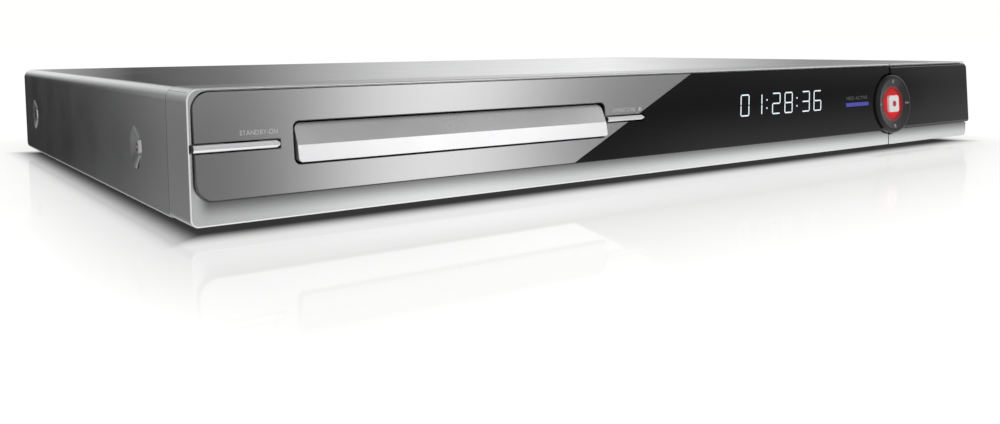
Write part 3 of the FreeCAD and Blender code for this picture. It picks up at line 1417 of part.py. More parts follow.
def make_traverse():
    body = piece("traverse")
    level, high = s.traverse_level, s.traverse_level + s.traverse_thick
    add(body, "xy", level, high, rectangle(
        pivot_left, pivot_right, s.traverse_front, s.traverse_pivot + 4))
    cut(body, "xy", level - 1, high + 1, rectangle(
        spindle_across - s.sled_width / 2 - 3, pivot_right - 2.6,
        s.spindle_back + 10, s.traverse_pivot - 6))
    for across in (pivot_left - 4.4, pivot_right - 1.6):
        add(body, "yz", across, across + 6, disc(s.traverse_pivot, pivot_level, 1.5))
    add(body, "xz", cam_back - 4.2, s.traverse_front + 1, disc(spindle_across, pivot_level, 0.75))
    rods = [spindle_across - s.rod_spread, spindle_across + s.rod_spread]
    rod_start, rod_end = s.spindle_back + 9.5, s.traverse_pivot - 4.5
    blocks = ((rod_start - 3, rod_start + 2.5), (rod_end - 5, rod_end + 1))
    for start, end in blocks:
        for across in rods:
            add(body, "xz", start, end, rectangle(
                across - 2.6, across + 2.6, level, s.rod_level + 2.4))
    cut(body, "xz", rod_start, rod_end, *[
        disc(across, s.rod_level, s.rod_radius + 0.01) for across in rods])
    shaft_radius = s.rod_radius - 0.5
    block = rectangle(screw_across - 3.4, pivot_right, level, s.rod_level)
    add(body, "xz", s.spindle_back + 8, s.spindle_back + 12, block)
    shaft_hole = disc(screw_across, s.rod_level, shaft_radius + s.running_fit)
    cut(body, "xz", s.spindle_back + 7, s.spindle_back + 13, shaft_hole)

    body = piece("guide_rods", several=True)
    add(body, "xz", rod_start, rod_end, *[
        disc(across, s.rod_level, s.rod_radius) for across in rods])

    body = piece("traverse_motors", several=True)
    add(body, "xz", s.traverse_pivot - 6, s.traverse_pivot + 4, rectangle(
        screw_across - 3.2, screw_across + 3.2, high, s.rod_level + 3.2))
    add(body, "xz", s.traverse_pivot - 8, s.traverse_pivot - 6, disc(screw_across, s.rod_level, 2.4))
    add(body, "xy", high, s.turntable_seat - 2.4, disc(spindle_across, s.spindle_back, 9.0))

    body = piece("lead_screw")
    add(body, "xz", s.spindle_back + 8.5, s.traverse_pivot - 8.2, disc(
        screw_across, s.rod_level, shaft_radius))
    thread = add(body, "xz", s.spindle_back + 14, s.spindle_back + 14.8, disc(
        screw_across, s.rod_level, s.rod_radius))
    repeat(body, thread, "Y", 1.6, 38)

    body = piece("turntable")
    add(body, "xy", s.turntable_seat - 2.0, s.turntable_seat, disc(
        spindle_across, s.spindle_back, s.turntable_radius))
    add(body, "xy", s.turntable_seat, s.hub_top, disc(spindle_across, s.spindle_back, s.hub_radius))
    chamfer(body, 0.9, lambda p, d: near(p.z, s.hub_top))

    body = piece("pickup_sled")
    low, high = 11.5, 19.5
    start = s.spindle_back + s.lens_back - s.sled_length / 2
    half = s.sled_width / 2
    add(body, "xy", low, high, rectangle(
        spindle_across - half, spindle_across + half, start, start + s.sled_length))
    add(body, "xz", start + 6, start + 14, rectangle(
        spindle_across + half - 1, screw_across - s.rod_radius - 0.15, s.rod_level - 1.5,
        s.rod_level + 1.5,
    ))
    cut(body, "xz", start - 1, start + s.sled_length + 1, *[
        disc(across, s.rod_level, s.rod_radius + s.running_fit) for across in rods])
    cut(body, "xy", low - 1, low + 2, rectangle(
        spindle_across - 16, spindle_across + 16, start + 3, start + s.sled_length - 3))
    fillet(body, 1.0, lambda p, d: near(p.z, high))
    lens_deep = s.spindle_back + s.lens_back
    add(body, "xy", high, 21.4, rounded(
        spindle_across - 6, spindle_across + 6, lens_deep - 5, lens_deep + 5, 1.5))
    add(body, "xy", 21.4, 22.2, disc(spindle_across, lens_deep, 2.6))
    fillet(body, 0.5, lambda p, d: near(p.z, 22.2))

    body = piece("cam_slider")
    cam_low, cam_high = s.drive_low + s.drive_wall + 0.2, pivot_level + 3.2
    start, end = spindle_across - 14, spindle_across + 32
    add(body, "xz", cam_back - 3, cam_back, rectangle(start, end, cam_low, cam_high))
    begin, finish = spindle_across, spindle_across + s.cam_travel
    below, above = pivot_level - 1.15, pivot_level + 1.3
    cut(body, "xz", cam_back - 4, cam_back + 1, polygon(
        (begin - 2.5, below), (begin, below), (finish, below - cam_drop),
        (finish + 2.5, below - cam_drop), (finish + 2.5, above - cam_drop),
        (finish + 0.6, above - cam_drop), (begin + 0.6, above), (begin - 2.5, above),
    ))


# Hard disc drive

platter_across = hdd_left + s.hdd_width / 2
platter_deep = hdd_back - s.platter_radius - 6
hdd_lid_low = s.hdd_low + s.hdd_base_height
arm_across = hdd_right - 20
arm_deep = s.hdd_front + 32


def make_hard_disc():
    body = piece("hdd_base")
    add(body, "xy", s.hdd_low, hdd_lid_low, rectangle(hdd_left, hdd_right, s.hdd_front, hdd_back))
    fillet(body, 3, lambda p, d: along(d, "z"))
    cut(body, "xy", s.hdd_low + 7, hdd_lid_low + 1, disc(
        platter_across, platter_deep, s.platter_radius + 1.2))
    cut(body, "xy", s.hdd_low + 7, hdd_lid_low + 1, rounded(
        hdd_left + 30, hdd_right - 5, s.hdd_front + 9, platter_deep, 4))
    add(body, "xy", s.hdd_low + 6.5, hdd_lid_low - 3, disc(platter_across, platter_deep, 3.5))
    add(body, "xy", s.hdd_low + 6.5, hdd_lid_low - 3, disc(arm_across, arm_deep, 2.4))
    feet = [
        disc(u, v, 4)
        for u in (hdd_left + 6, hdd_right - 6)
        for v in (s.hdd_front + 16, hdd_back - 16)
    ]
    add(body, "xy", pan_top, s.hdd_low, *feet)

    body = piece("hdd_lid")
    add(body, "xy", hdd_lid_low, hdd_lid_low + 1.5, rectangle(
        hdd_left, hdd_right, s.hdd_front, hdd_back))
    fillet(body, 3, lambda p, d: along(d, "z"))
    fillet(body, 0.5, lambda p, d: near(p.z, hdd_lid_low + 1.5))

    body = piece("hdd_platters")
    hub_low = s.hdd_low + 8
    add(body, "xy", hub_low, hdd_lid_low - 2.0, disc(platter_across, platter_deep, 13))
    for level in (hub_low + 3, hub_low + 8):
        add(body, "xy", level, level + 0.9, disc(platter_across, platter_deep, s.platter_radius))
    cut(body, "xy", hub_low - 1, hdd_lid_low, disc(platter_across, platter_deep, 3.5 + s.running_fit))

    body = piece("hdd_actuator")
    add(body, "xy", hub_low, hdd_lid_low - 2.0, disc(arm_across, arm_deep, 7.5))
    ahead = (sine(s.arm_rest_turn), cosine(s.arm_rest_turn))

    def spot(away, beside):
        """A point a distance along the arm from its pivot and a distance to its right."""
        return (
            arm_across + away * ahead[0] + beside * ahead[1],
            arm_deep + away * ahead[1] - beside * ahead[0],
        )

    reach = s.arm_reach
    for level in (hub_low + 1.6, hub_low + 5.2, hub_low + 10.2):
        add(body, "xy", level, level + 0.9, polygon(
            spot(0, 5), spot(reach, 1.4), spot(reach, -1.4), spot(0, -5)))
    add(body, "xy", hub_low + 4, hub_low + 8, polygon(
        spot(0, 6), spot(-16, 9), spot(-16, -9), spot(0, -6)))
    cut(body, "xy", hub_low - 1, hdd_lid_low, disc(arm_across, arm_deep, 2.4 + s.running_fit))


# Boards, their parts and the cables between them

ribbon_across = (drive_right - 42, drive_right - 6)
front_ribbon = (s.main_board_left + 20, s.main_board_left + 50)
hdd_ribbon = (platter_across - 26, platter_across + 26)
ribbon_drive_deep = drive_back + 14
ribbon_front_deep = s.main_board_front + 12
ribbon_hdd_deep = main_arm_back - 14


def make_boards():
    body = piece("main_board")
    left_edge = power_right + 4
    add(body, "xy", s.board_level, board_top, polygon(
        (s.main_board_left, s.main_board_front), (right - 7, s.main_board_front),
        (right - 7, main_arm_back), (main_right, main_arm_back), (main_right, board_back),
        (left_edge, board_back), (left_edge, drive_back + 6), (s.main_board_left, drive_back + 6),
    ))

    body = piece("main_chips", several=True)
    main_mid = (s.main_board_left + main_right) / 2
    spots = [
        (main_mid, s.main_board_front + 60, 14), (main_mid - 38, s.main_board_front + 90, 10),
        (main_mid + 36, s.main_board_front + 100, 9), (main_mid - 30, s.main_board_front + 130, 11),
        (main_mid + 20, s.main_board_front + 22, 7),
    ]
    add(body, "xy", board_top, board_top + 2.2, *[
        rectangle(u - half, u + half, v - half, v + half) for u, v, half in spots])

    body = piece("heatsink")
    u, v, half = spots[0]
    plate = rectangle(u - half, u + half, v - half, v + half)
    add(body, "xy", board_top + 2.2, board_top + 4.2, plate)
    rib = rectangle(u - half, u - half + 1.2, v - half, v + half)
    fin = add(body, "xy", board_top + 4.2, board_top + 14, rib)
    repeat(body, fin, "X", 3.35, 9)

    body = piece("power_board")
    add(body, "xy", s.board_level, board_top, rectangle(
        power_left, power_right, power_front, board_back))

    body = piece("power_parts", several=True)
    u, v = power_left + 62, power_front + 22
    add(body, "xy", board_top, board_top + 4, rectangle(u - 15, u + 15, v - 13, v + 13))
    add(body, "xy", board_top + 4, board_top + 20, rectangle(u - 9, u + 9, v - 9, v + 9))
    add(body, "xy", board_top + 8, board_top + 22, rectangle(u - 16, u + 16, v - 5, v + 5))
    fillet(body, 0.8, lambda p, d: near(p.z, board_top + 22))

    spots = [(power_left + 24, power_front + 24, 9), (power_left + 92, power_front + 18, 5),
             (power_left + 92, power_front + 32, 5), (power_left + 104, power_front + 25, 5)]
    add(body, "xy", board_top, board_top + 24, *[disc(u, v, r) for u, v, r in spots])
    fillet(body, 0.8, lambda p, d: near(p.z, board_top + 24))

    body = piece("board_connectors", several=True)
    high = board_top + s.connector_height
    for (start, end), deep in (
        (ribbon_across, ribbon_drive_deep),
        (front_ribbon, ribbon_front_deep),
        (hdd_ribbon, ribbon_hdd_deep),
    ):
        add(body, "xy", board_top, high, rectangle(start - 2.5, end + 2.5, deep - 3, deep + 3))


def strip(body, across, path):
    """A flat cable whose middle line runs through points, square at its corners until they are bent."""
    half = s.ribbon_thick / 2
    signs = []
    for (y0, z0), (y1, z1) in zip(path, path[1:]):
        run, rise = (size(y1) - y0).value, (size(z1) - z0).value
        signs.append((0, math.copysign(1, run)) if abs(run) > abs(rise) else (-math.copysign(1, rise), 0))
    sides = []
    for side in (1, -1):
        points = []
        for number, (y, z) in enumerate(path):
            before = signs[max(number - 1, 0)]
            after = signs[min(number, len(signs) - 1)]
            shift_y, shift_z = (max(a, b, key=abs) * side for a, b in zip(before, after))
            points.append((size(y) + half * shift_y, size(z) + half * shift_z))
        sides.append(points)
    add(body, "yz", across[0], across[1], polygon(*sides[0], *reversed(sides[1])))
    middle = ((across[0] + across[1]) / 2).value
    for number in range(1, len(path) - 1):
        before, here, after = (size(path[number + step][0]).value for step in (-1, 0, 1))
        inward = before + after - 2 * here
        for points in sides:
            y, z = (size(n).value for n in points[number])
            outer = (y - here) * inward < 0
            radius = s.ribbon_bend + half if outer else s.ribbon_bend - half
            fillet(body, radius, lambda p, d: (
                along(d, "x") and near(p.x, middle) and near(p.y, y) and near(p.z, z)))


def make_ribbons():
    high = board_top + s.connector_height + s.fit_gap
    body = piece("ribbon_cables", several=True)
    level = board_top + 13.2
    strip(body, ribbon_across, [
        (drive_back + s.fit_gap, level), (ribbon_drive_deep, level), (ribbon_drive_deep, high)])
    level = board_top + 16.2
    strip(body, front_ribbon, [
        (lean_depth(level, s.front_board_face + s.board_thick + 0.15), level), (ribbon_front_deep, level),
        (ribbon_front_deep, high)])
    level = board_top + 14.2
    strip(body, hdd_ribbon, [
        (s.hdd_front - s.fit_gap, level), (ribbon_hdd_deep, level), (ribbon_hdd_deep, high)])


# Screws that hold the cover


def make_screws():
    body = piece("cover_screws", several=True)
    head, length, radius = s.screw_head_height, s.screw_length, s.screw_radius
    heads = [disc(deep, s.dimple_level, s.screw_head_radius) for deep in dimple_places]
    shanks = [disc(deep, s.dimple_level, radius) for deep in dimple_places]
    seat = s.dimple_depth
    add(body, "yz", seat - head, seat, *heads)
    add(body, "yz", seat, seat + length, *shanks)
    add(body, "yz", right - seat, right - seat + head, *heads)
    add(body, "yz", right - seat - length, right - seat, *shanks)
    back = s.body_depth
    add(body, "xz", back, back + head, *[
        disc(across, rear_screw_level, s.screw_head_radius) for across in rear_screw_places])
    add(body, "xz", back - length, back, *[
        disc(across, rear_screw_level, radius) for across in rear_screw_places])
    slot, reach = 0.35, s.screw_head_radius * 0.62
    for start in (seat - head - 1, right - seat + head - 0.6):
        for deep in dimple_places:
            for wide, tall in ((slot, reach), (reach, slot)):
                cut(body, "yz", start, start + 1.6, rectangle(
                    deep - wide, deep + wide, s.dimple_level - tall, s.dimple_level + tall))
    for across in rear_screw_places:
        for wide, tall in ((slot, reach), (reach, slot)):
            cut(body, "xz", back + head - 0.6, back + head + 1, rectangle(
                across - wide, across + wide, rear_screw_level - tall, rear_screw_level + tall))


make_cover()
make_pan()
make_feet()
make_rear_panel()
make_rear_sockets()
make_fan()
make_bezel()
make_fascia()
make_door()
make_bars()
make_pad()
make_front_boards()
make_front_sockets()
make_tray()
make_drive_gear()
make_drive_frame()
make_traverse()
make_hard_disc()
make_boards()
make_ribbons()
make_screws()

doc.recompute()

# Nothing is written unless every object is sound

for item in doc.Objects:
    if "Invalid" in item.State or "Error" in item.State:
        raise RuntimeError(f"{item.Name} is {item.State}")
for body in PIECES:
    if body.Shape.isNull() or not body.Shape.isValid() or not body.Shape.Solids:
        raise RuntimeError(f"{body.Label} has no sound shape")

os.makedirs("parts", exist_ok=True)
for body in PIECES:
    body.Shape.exportStep(f"parts/{body.Label}.step")
    box = body.Shape.BoundBox
    lengths = f"{box.XLength:.1f} x {box.YLength:.1f} x {box.ZLength:.1f}"
    print(f"{body.Label}: {len(body.Shape.Solids)} solids, {lengths}")
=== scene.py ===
"""Looks of the disc recorder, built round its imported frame.

Places on the object are given in millimetres in the same coordinates as the part: x from the left
end of the front, y back from the bottom front edge, z up from the underside of the body.
"""

import math

import bmesh
import bpy
from mathutils import Matrix, Vector


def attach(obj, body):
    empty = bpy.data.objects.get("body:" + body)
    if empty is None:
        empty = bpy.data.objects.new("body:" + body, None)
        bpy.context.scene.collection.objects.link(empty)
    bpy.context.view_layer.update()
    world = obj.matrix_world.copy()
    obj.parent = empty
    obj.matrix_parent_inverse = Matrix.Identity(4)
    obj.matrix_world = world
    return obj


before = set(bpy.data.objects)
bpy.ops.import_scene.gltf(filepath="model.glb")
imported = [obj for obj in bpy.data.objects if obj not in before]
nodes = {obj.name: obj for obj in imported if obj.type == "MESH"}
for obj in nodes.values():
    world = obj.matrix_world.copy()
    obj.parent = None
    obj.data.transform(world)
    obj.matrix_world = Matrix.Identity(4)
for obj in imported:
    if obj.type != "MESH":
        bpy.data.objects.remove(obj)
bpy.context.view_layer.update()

MM = 0.001
WIDTH, DEPTH, FEET = 435.0, 284.5, 3.6
LEFT, FRONT = -217.5, -144.1

# The leaning face: its foot, how far the foot stands forward, and its lean
FACE_FOOT, FACE_FORWARD, LEAN = 7.9, 2.15, math.radians(4.57)

# The round pad: its middle on the face, how proud it stands, the dish in it, and how deep the record
# button lies in it
PAD_X, PAD_CLIMB, PAD_PROUD = 359.2, 13.2, 1.9
DISH_DEPTH, DISH_RIM, DISH_WIDTH = 1.3, 13.05, 5.0
RECORD_SUNK = 0.2


def at(x, y, z):
    """A place on the object as a point of the row frame."""
    return Vector((x + LEFT, y + FRONT, z + FEET)) * MM


def face(x, climb, proud=0.0):
    """A point on the leaning face, a distance up it and a distance proud of it."""
    y = climb * math.sin(LEAN) - FACE_FORWARD - proud * math.cos(LEAN)
    z = FACE_FOOT + climb * math.cos(LEAN) + proud * math.sin(LEAN)
    return at(x, y, z)


def new_object(name, data):
    """A new object that is part of the scene."""
    item = bpy.data.objects.new(name, data)
    bpy.context.scene.collection.objects.link(item)
    return item


# Node graphs


class Graph:
    """Short calls that add nodes to a tree and join them."""

    def __init__(self, tree):
        self.tree = tree
        tree.nodes.clear()

    def add(self, kind, **settings):
        node = self.tree.nodes.new(kind)
        for name, value in settings.items():
            setattr(node, name, value)
        return node

    def join(self, source, target):
        self.tree.links.new(source, target)

    def feed(self, socket, value):
        if isinstance(value, bpy.types.NodeSocket):
            self.join(value, socket)
        else:
            socket.default_value = value

    def math(self, operation, a, b=0.0):
        node = self.add("ShaderNodeMath", operation=operation)
        self.feed(node.inputs[0], a)
        self.feed(node.inputs[1], b)
        return node.outputs[0]

    def product(self, first, *others):
        for other in others:
            first = self.math("MULTIPLY", first, other)
        return first

    def largest(self, first, *others):
        for other in others:
            first = self.math("MAXIMUM", first, other)
        return first

    def away(self, coordinate, place):
        """How far a coordinate is from a place."""
        return self.math("ABSOLUTE", self.math("SUBTRACT", coordinate, place))

    def split(self, vector):
        """The three coordinates of a vector."""
        node = self.add("ShaderNodeSeparateXYZ")
        self.join(vector, node.inputs[0])
        return [node.outputs[axis] for axis in "XYZ"]

    def remap(self, value, low, high, new_low=0.0, new_high=1.0, smooth=True):
        node = self.add("ShaderNodeMapRange", interpolation_type="SMOOTHSTEP" if smooth else "LINEAR")
        self.feed(node.inputs["Value"], value)
        numbers = {"From Min": low, "From Max": high, "To Min": new_low, "To Max": new_high}
        for name, number in numbers.items():
            node.inputs[name].default_value = number
        return node.outputs["Result"]

    def grain(self, vector, scale, detail):
        """Noise as it comes, mostly between 0.3 and 0.7."""
        node = self.add("ShaderNodeTexNoise")
        self.join(vector, node.inputs["Vector"])
        for name, number in (("Scale", scale), ("Detail", detail), ("Roughness", 0.55)):
            node.inputs[name].default_value = number
        return node.outputs["Fac"]

    def noise(self, vector, scale, low=0.0, high=1.0, detail=3.0):
        """Noise spread over a range."""
        return self.remap(self.grain(vector, scale, detail), 0.3, 0.7, low, high)

    def blend(self, factor, a, b):
        node = self.add("ShaderNodeMix", data_type="RGBA")
        self.feed(node.inputs["Factor"], factor)
        self.feed(node.inputs["A"], a)
        self.feed(node.inputs["B"], b)
        return node.outputs["Result"]

    def darken(self, factor, colour):
        """A colour where the factor is 1, and black where it is 0."""
        return self.blend(factor, (0.0, 0.0, 0.0, 1), colour)

    def ramp(self, value, stops):
        """A grey ramp through places and tones."""
        node = self.add("ShaderNodeValToRGB")
        node.color_ramp.interpolation = "LINEAR"
        items = node.color_ramp.elements
        while len(items) < len(stops):
            items.new(0.5)
        for item, (place, tone) in zip(items, stops):
            item.position = place
            item.color = (tone, tone, tone, 1)
        self.join(value, node.inputs["Fac"])
        return node.outputs["Color"]


def shade(color, factor):
    """A colour made lighter or darker by a factor, no channel above 1."""
    return tuple(min(1.0, channel * factor) for channel in color[:3]) + (1.0,)


def blank(name):
    """A material with its graph, its surface socket and the object's coordinates."""
    material = bpy.data.materials.new(name)
    material.use_nodes = True
    graph = Graph(material.node_tree)
    output = graph.add("ShaderNodeOutputMaterial").inputs["Surface"]
    place = graph.add("ShaderNodeTexCoord").outputs["Object"]
    return material, graph, output, place


def start(name):
    """A material with one principled shader, its graph, that shader's inputs and the coordinates."""
    material, graph, output, place = blank(name)
    shader = graph.add("ShaderNodeBsdfPrincipled")
    graph.join(shader.outputs[0], output)
    return material, graph, shader.inputs, place


SPECULAR = 0.5


def surface(name, color, metallic=0.0, rough=0.4, spread=0.06, mottle=0.06, grain=900.0, bump=0.0,
            bump_grain=2500.0, coat=0.0, coat_rough=0.05, shadow=None):
    """A finish with a little mottling of colour, uneven gloss and a fine grain.

    shadow(graph, place) may give a factor of painted shade that darkens it by place.
    """
    material, graph, shader, place = start(name)
    tone = graph.blend(graph.noise(place, grain), shade(color, 1 - mottle), shade(color, 1 + mottle))
    if shadow:
        factor = shadow(graph, place)
        tone = graph.darken(factor, tone)
        graph.join(graph.product(factor, SPECULAR), shader["Specular IOR Level"])
        graph.join(graph.product(factor, coat), shader["Coat Weight"])
    graph.join(tone, shader["Base Color"])
    graph.join(graph.noise(place, 40.0, rough - spread, rough + spread, detail=4.0), shader["Roughness"])
    shader["Metallic"].default_value = metallic
    shader["Specular IOR Level"].default_value = SPECULAR
    shader["Coat Weight"].default_value = coat
    shader["Coat Roughness"].default_value = coat_rough
    if bump:
        node = graph.add("ShaderNodeBump")
        node.inputs["Strength"].default_value = bump
        node.inputs["Distance"].default_value = 0.1 * MM
        graph.join(graph.grain(place, bump_grain, 2.0), node.inputs["Height"])
        graph.join(node.outputs[0], shader["Normal"])
    return material


# Painted shade: dark seams and soft shadows between the front's pieces

SEAM = (PAD_X + LEFT) * MM

# Two opposite corners of each bar in the plate
STANDBY_BAR = (face(2.0, 14.45), face(28.0, 17.15))
OPEN_BAR = (face(163.0, 14.55), face(183.1, 16.95))


def turned_to_face(graph):
    """1 where the surface lies along the leaning face, and less as it turns away from it."""
    node = graph.add("ShaderNodeVectorMath", operation="DOT_PRODUCT")
    graph.join(graph.add("ShaderNodeTexCoord").outputs["Normal"], node.inputs[0])
    node.inputs[1].default_value = (0.0, -math.cos(LEAN), math.sin(LEAN))
    return node.outputs["Value"]


def off_seam(graph, x, half):
    """Painted shade at the seam between the fixed front and the door: 0 close to the seam, 1 away from it.
    """
    return graph.remap(graph.away(x, SEAM), half * 0.6 * MM, half * MM)


def overhang_shadow(graph, place):
    """Painted shade: dark under the plate that hangs over the chin and along the seam, a little darker at
    the sides.
    """
    x, y, z = graph.split(place)
    front = graph.remap(y, (FRONT + 0.6) * MM, (FRONT + 2.4) * MM, 1.0, 0.0)
    inward = graph.remap(x, (LEFT + 1.5) * MM, (LEFT + 6.0) * MM)
    low = graph.math("LESS_THAN", z, (FEET + 9.0) * MM)
    depth = graph.remap(z, (FEET + 8.2) * MM, (FEET + 1.2) * MM, 0.74, 0.0)
    clear = graph.math("SUBTRACT", 1.0, graph.product(depth, front, inward, low))
    side = graph.remap(turned_to_face(graph), 0.45, 0.975, 0.72, 1.0)
    return graph.product(clear, side, off_seam(graph, x, 0.4))


def round_bar(graph, x, z, first, last):
    """Painted shade: dark close round a bar on the face, given by two of its corners, and 1 away from it."""
    past = []
    for coordinate, low, high in ((x, first.x, last.x), (z, first.z, last.z)):
        past.append(graph.math("SUBTRACT", graph.away(coordinate, (low + high) / 2), (high - low) / 2))
    return graph.remap(graph.largest(*past), -0.1 * MM, 0.6 * MM, 0.2, 1.0)


def plate_shadow(graph, place):
    """Painted shade: dark on the plate's cut edges, at the door's seam and close round the two bars."""
    x, _, z = graph.split(place)
    edges = graph.remap(turned_to_face(graph), 0.80, 0.98, 0.12, 1.0)
    bars = [round_bar(graph, x, z, *corners) for corners in (STANDBY_BAR, OPEN_BAR)]
    return graph.product(edges, off_seam(graph, x, 0.8), *bars)


def bar_shadow(graph, place):
    """Painted shade: dark on the sides of a bar that face its slot."""
    return graph.remap(turned_to_face(graph), 0.1, 0.6, 0.15, 1.0)


def tray_shadow(graph, place):
    """Painted shadow: darker on the tray's front under the upper edge of its opening."""
    z = graph.split(place)[2]
    return graph.remap(z, face(0, 20.4).z, face(0, 21.9).z, 1.0, 0.5)


# Finishes of single pieces


def glowing(name, color, glow, strength):
    """A lit lens: its own colour and light, both uneven by a fine grain."""
    material, graph, shader, place = start(name)
    tone = graph.noise(place, 600.0)
    graph.join(graph.blend(tone, shade(color, 0.9), shade(color, 1.1)), shader["Base Color"])
    graph.join(graph.blend(tone, shade(glow, 0.92), shade(glow, 1.0)), shader["Emission Color"])
    shader["Emission Strength"].default_value = strength
    shader["Roughness"].default_value = 0.25
    return material


# The red light: its colour, and how proud of the face its middle is
RED_LIGHT, GLOW_PROUD = (1.0, 0.012, 0.022, 1), 0.5


def lit_ring(name, color, strength, bright_to, dim_from, left_over):
    """A finish with red light round the middle of the pad that fades between two distances from it: a lit
    lens on the record ring, a painted glow on the pad.
    """
    material, graph, shader, place = start(name)
    tone = graph.noise(place, 900.0)
    graph.join(graph.blend(tone, shade(color, 0.9), shade(color, 1.1)), shader["Base Color"])
    graph.join(graph.remap(tone, 0.0, 1.0, 0.20, 0.26), shader["Roughness"])
    shader["Specular IOR Level"].default_value = 0.22
    gap = graph.add("ShaderNodeVectorMath", operation="DISTANCE")
    graph.join(place, gap.inputs[0])
    gap.inputs[1].default_value = face(PAD_X, PAD_CLIMB, GLOW_PROUD)
    light = graph.remap(gap.outputs["Value"], bright_to * MM, dim_from * MM, strength, strength * left_over)
    shader["Emission Color"].default_value = RED_LIGHT
    graph.join(light, shader["Emission Strength"])
    return material


def fascia_finish():
    """Silver print on the left and gloss black on the right of a slanting line, under one clear coat."""
    material, graph, shader, place = start("fascia_two_tone")
    x, _, z = graph.split(place)
    (x_high, z_high), (x_low, z_low) = (213.6, 41.1), (145.2, FACE_FOOT)
    slope = (x_high - x_low) / (z_high - z_low)
    line = graph.product(graph.math("SUBTRACT", z, (z_low + FEET) * MM), slope)
    line = graph.math("ADD", line, (x_low + LEFT) * MM)
    black = graph.remap(graph.math("SUBTRACT", x, line), -0.06 * MM, 0.06 * MM, smooth=False)
    flake = graph.noise(place, 2600.0, detail=2.0)
    silver = graph.blend(flake, (0.69, 0.69, 0.697, 1), (0.72, 0.72, 0.727, 1))
    dark = graph.blend(flake, (0.008, 0.008, 0.009, 1), (0.011, 0.011, 0.012, 1))
    # Painted shade on the plate's edges, at the seam and round the bars; clear is 1 where none falls
    clear = plate_shadow(graph, place)
    graph.join(graph.darken(clear, graph.blend(black, silver, dark)), shader["Base Color"])
    graph.join(graph.remap(black, 0.0, 1.0, 0.95, 0.0, smooth=False), shader["Metallic"])
    graph.join(graph.remap(black, 0.0, 1.0, 0.20, 0.10, smooth=False), shader["Roughness"])
    graph.join(graph.product(clear, SPECULAR), shader["Specular IOR Level"])
    graph.join(graph.product(clear, 0.18), shader["Coat Weight"])
    shader["Coat Roughness"].default_value = 0.04
    return material


def moulded_finish():
    """Silver paint outside and bare grey plastic where the moulding faces inward."""
    material, graph, shader, place = start("moulded_silver")
    x, y, z = graph.split(place)
    # The outer skin: front, sides, upper edge and lower edge
    skin = graph.largest(
        graph.math("LESS_THAN", y, (FRONT + 3.5) * MM),
        graph.math("GREATER_THAN", graph.math("ABSOLUTE", x), (WIDTH / 2 - 1.0) * MM),
        graph.math("GREATER_THAN", z, (FEET + 40.3) * MM),
        graph.math("LESS_THAN", z, (FEET + 1.2) * MM),
    )
    outside = graph.product(skin, graph.math("GREATER_THAN", turned_to_face(graph), -0.5))
    flake = graph.noise(place, 5200.0)
    silver = graph.blend(flake, (0.78, 0.785, 0.79, 1), (0.81, 0.815, 0.82, 1))
    bare = graph.blend(flake, (0.21, 0.21, 0.215, 1), (0.24, 0.24, 0.245, 1))
    # Painted shade under the overhanging plate, along the seam and at the sides; clear is 1 where none falls
    clear = overhang_shadow(graph, place)
    graph.join(graph.blend(outside, bare, graph.darken(clear, silver)), shader["Base Color"])
    graph.join(graph.product(outside, 0.9), shader["Metallic"])
    graph.join(graph.remap(outside, 0.0, 1.0, 0.45, 0.26, smooth=False), shader["Roughness"])
    graph.join(graph.product(clear, SPECULAR), shader["Specular IOR Level"])
    return material


def column_colours(name, centres, colours, behind=None):
    """A black moulding whose round plugs, in columns, have the usual colours of their signals."""
    material, graph, shader, place = start(name)
    x, y, z = graph.split(place)
    colour = shade(BLACK, 1)
    for (across, level), tone in zip(centres, colours):
        near_x = graph.math("LESS_THAN", graph.away(x, across), PLUG_REACH)
        near_z = graph.math("LESS_THAN", graph.away(z, level), PLUG_REACH)
        out = graph.product(near_x, near_z)
        if behind is not None:
            out = graph.product(out, graph.math("GREATER_THAN", y, behind))
        colour = graph.blend(out, colour, tone)
    graph.join(colour, shader["Base Color"])
    graph.join(graph.noise(place, 900.0, 0.38, 0.5), shader["Roughness"])
    return material


SILVER = (0.56, 0.565, 0.575)
STEEL = (0.60, 0.61, 0.62)
BLACK = (0.018, 0.018, 0.020)
YELLOW, WHITE, RED = (0.80, 0.55, 0.03, 1), (0.78, 0.78, 0.76, 1), (0.62, 0.03, 0.03, 1)
GREEN, BLUE = (0.05, 0.42, 0.10, 1), (0.03, 0.10, 0.55, 1)

PLUG_REACH = 3.6 * MM
rear_plugs = [at(218.0 + 13.0 * column, 0, 15.0 + 14.0 * row) for row in range(2) for column in range(3)]
rear_colours = [YELLOW, WHITE, RED, GREEN, BLUE, RED]
rear_block_face = at(0, DEPTH - 1.4, 0).y
front_plugs = [at(WIDTH - gap, 0, 14.5) for gap in (49.5, 33.0, 16.5)]
front_colours = [YELLOW, WHITE, RED]

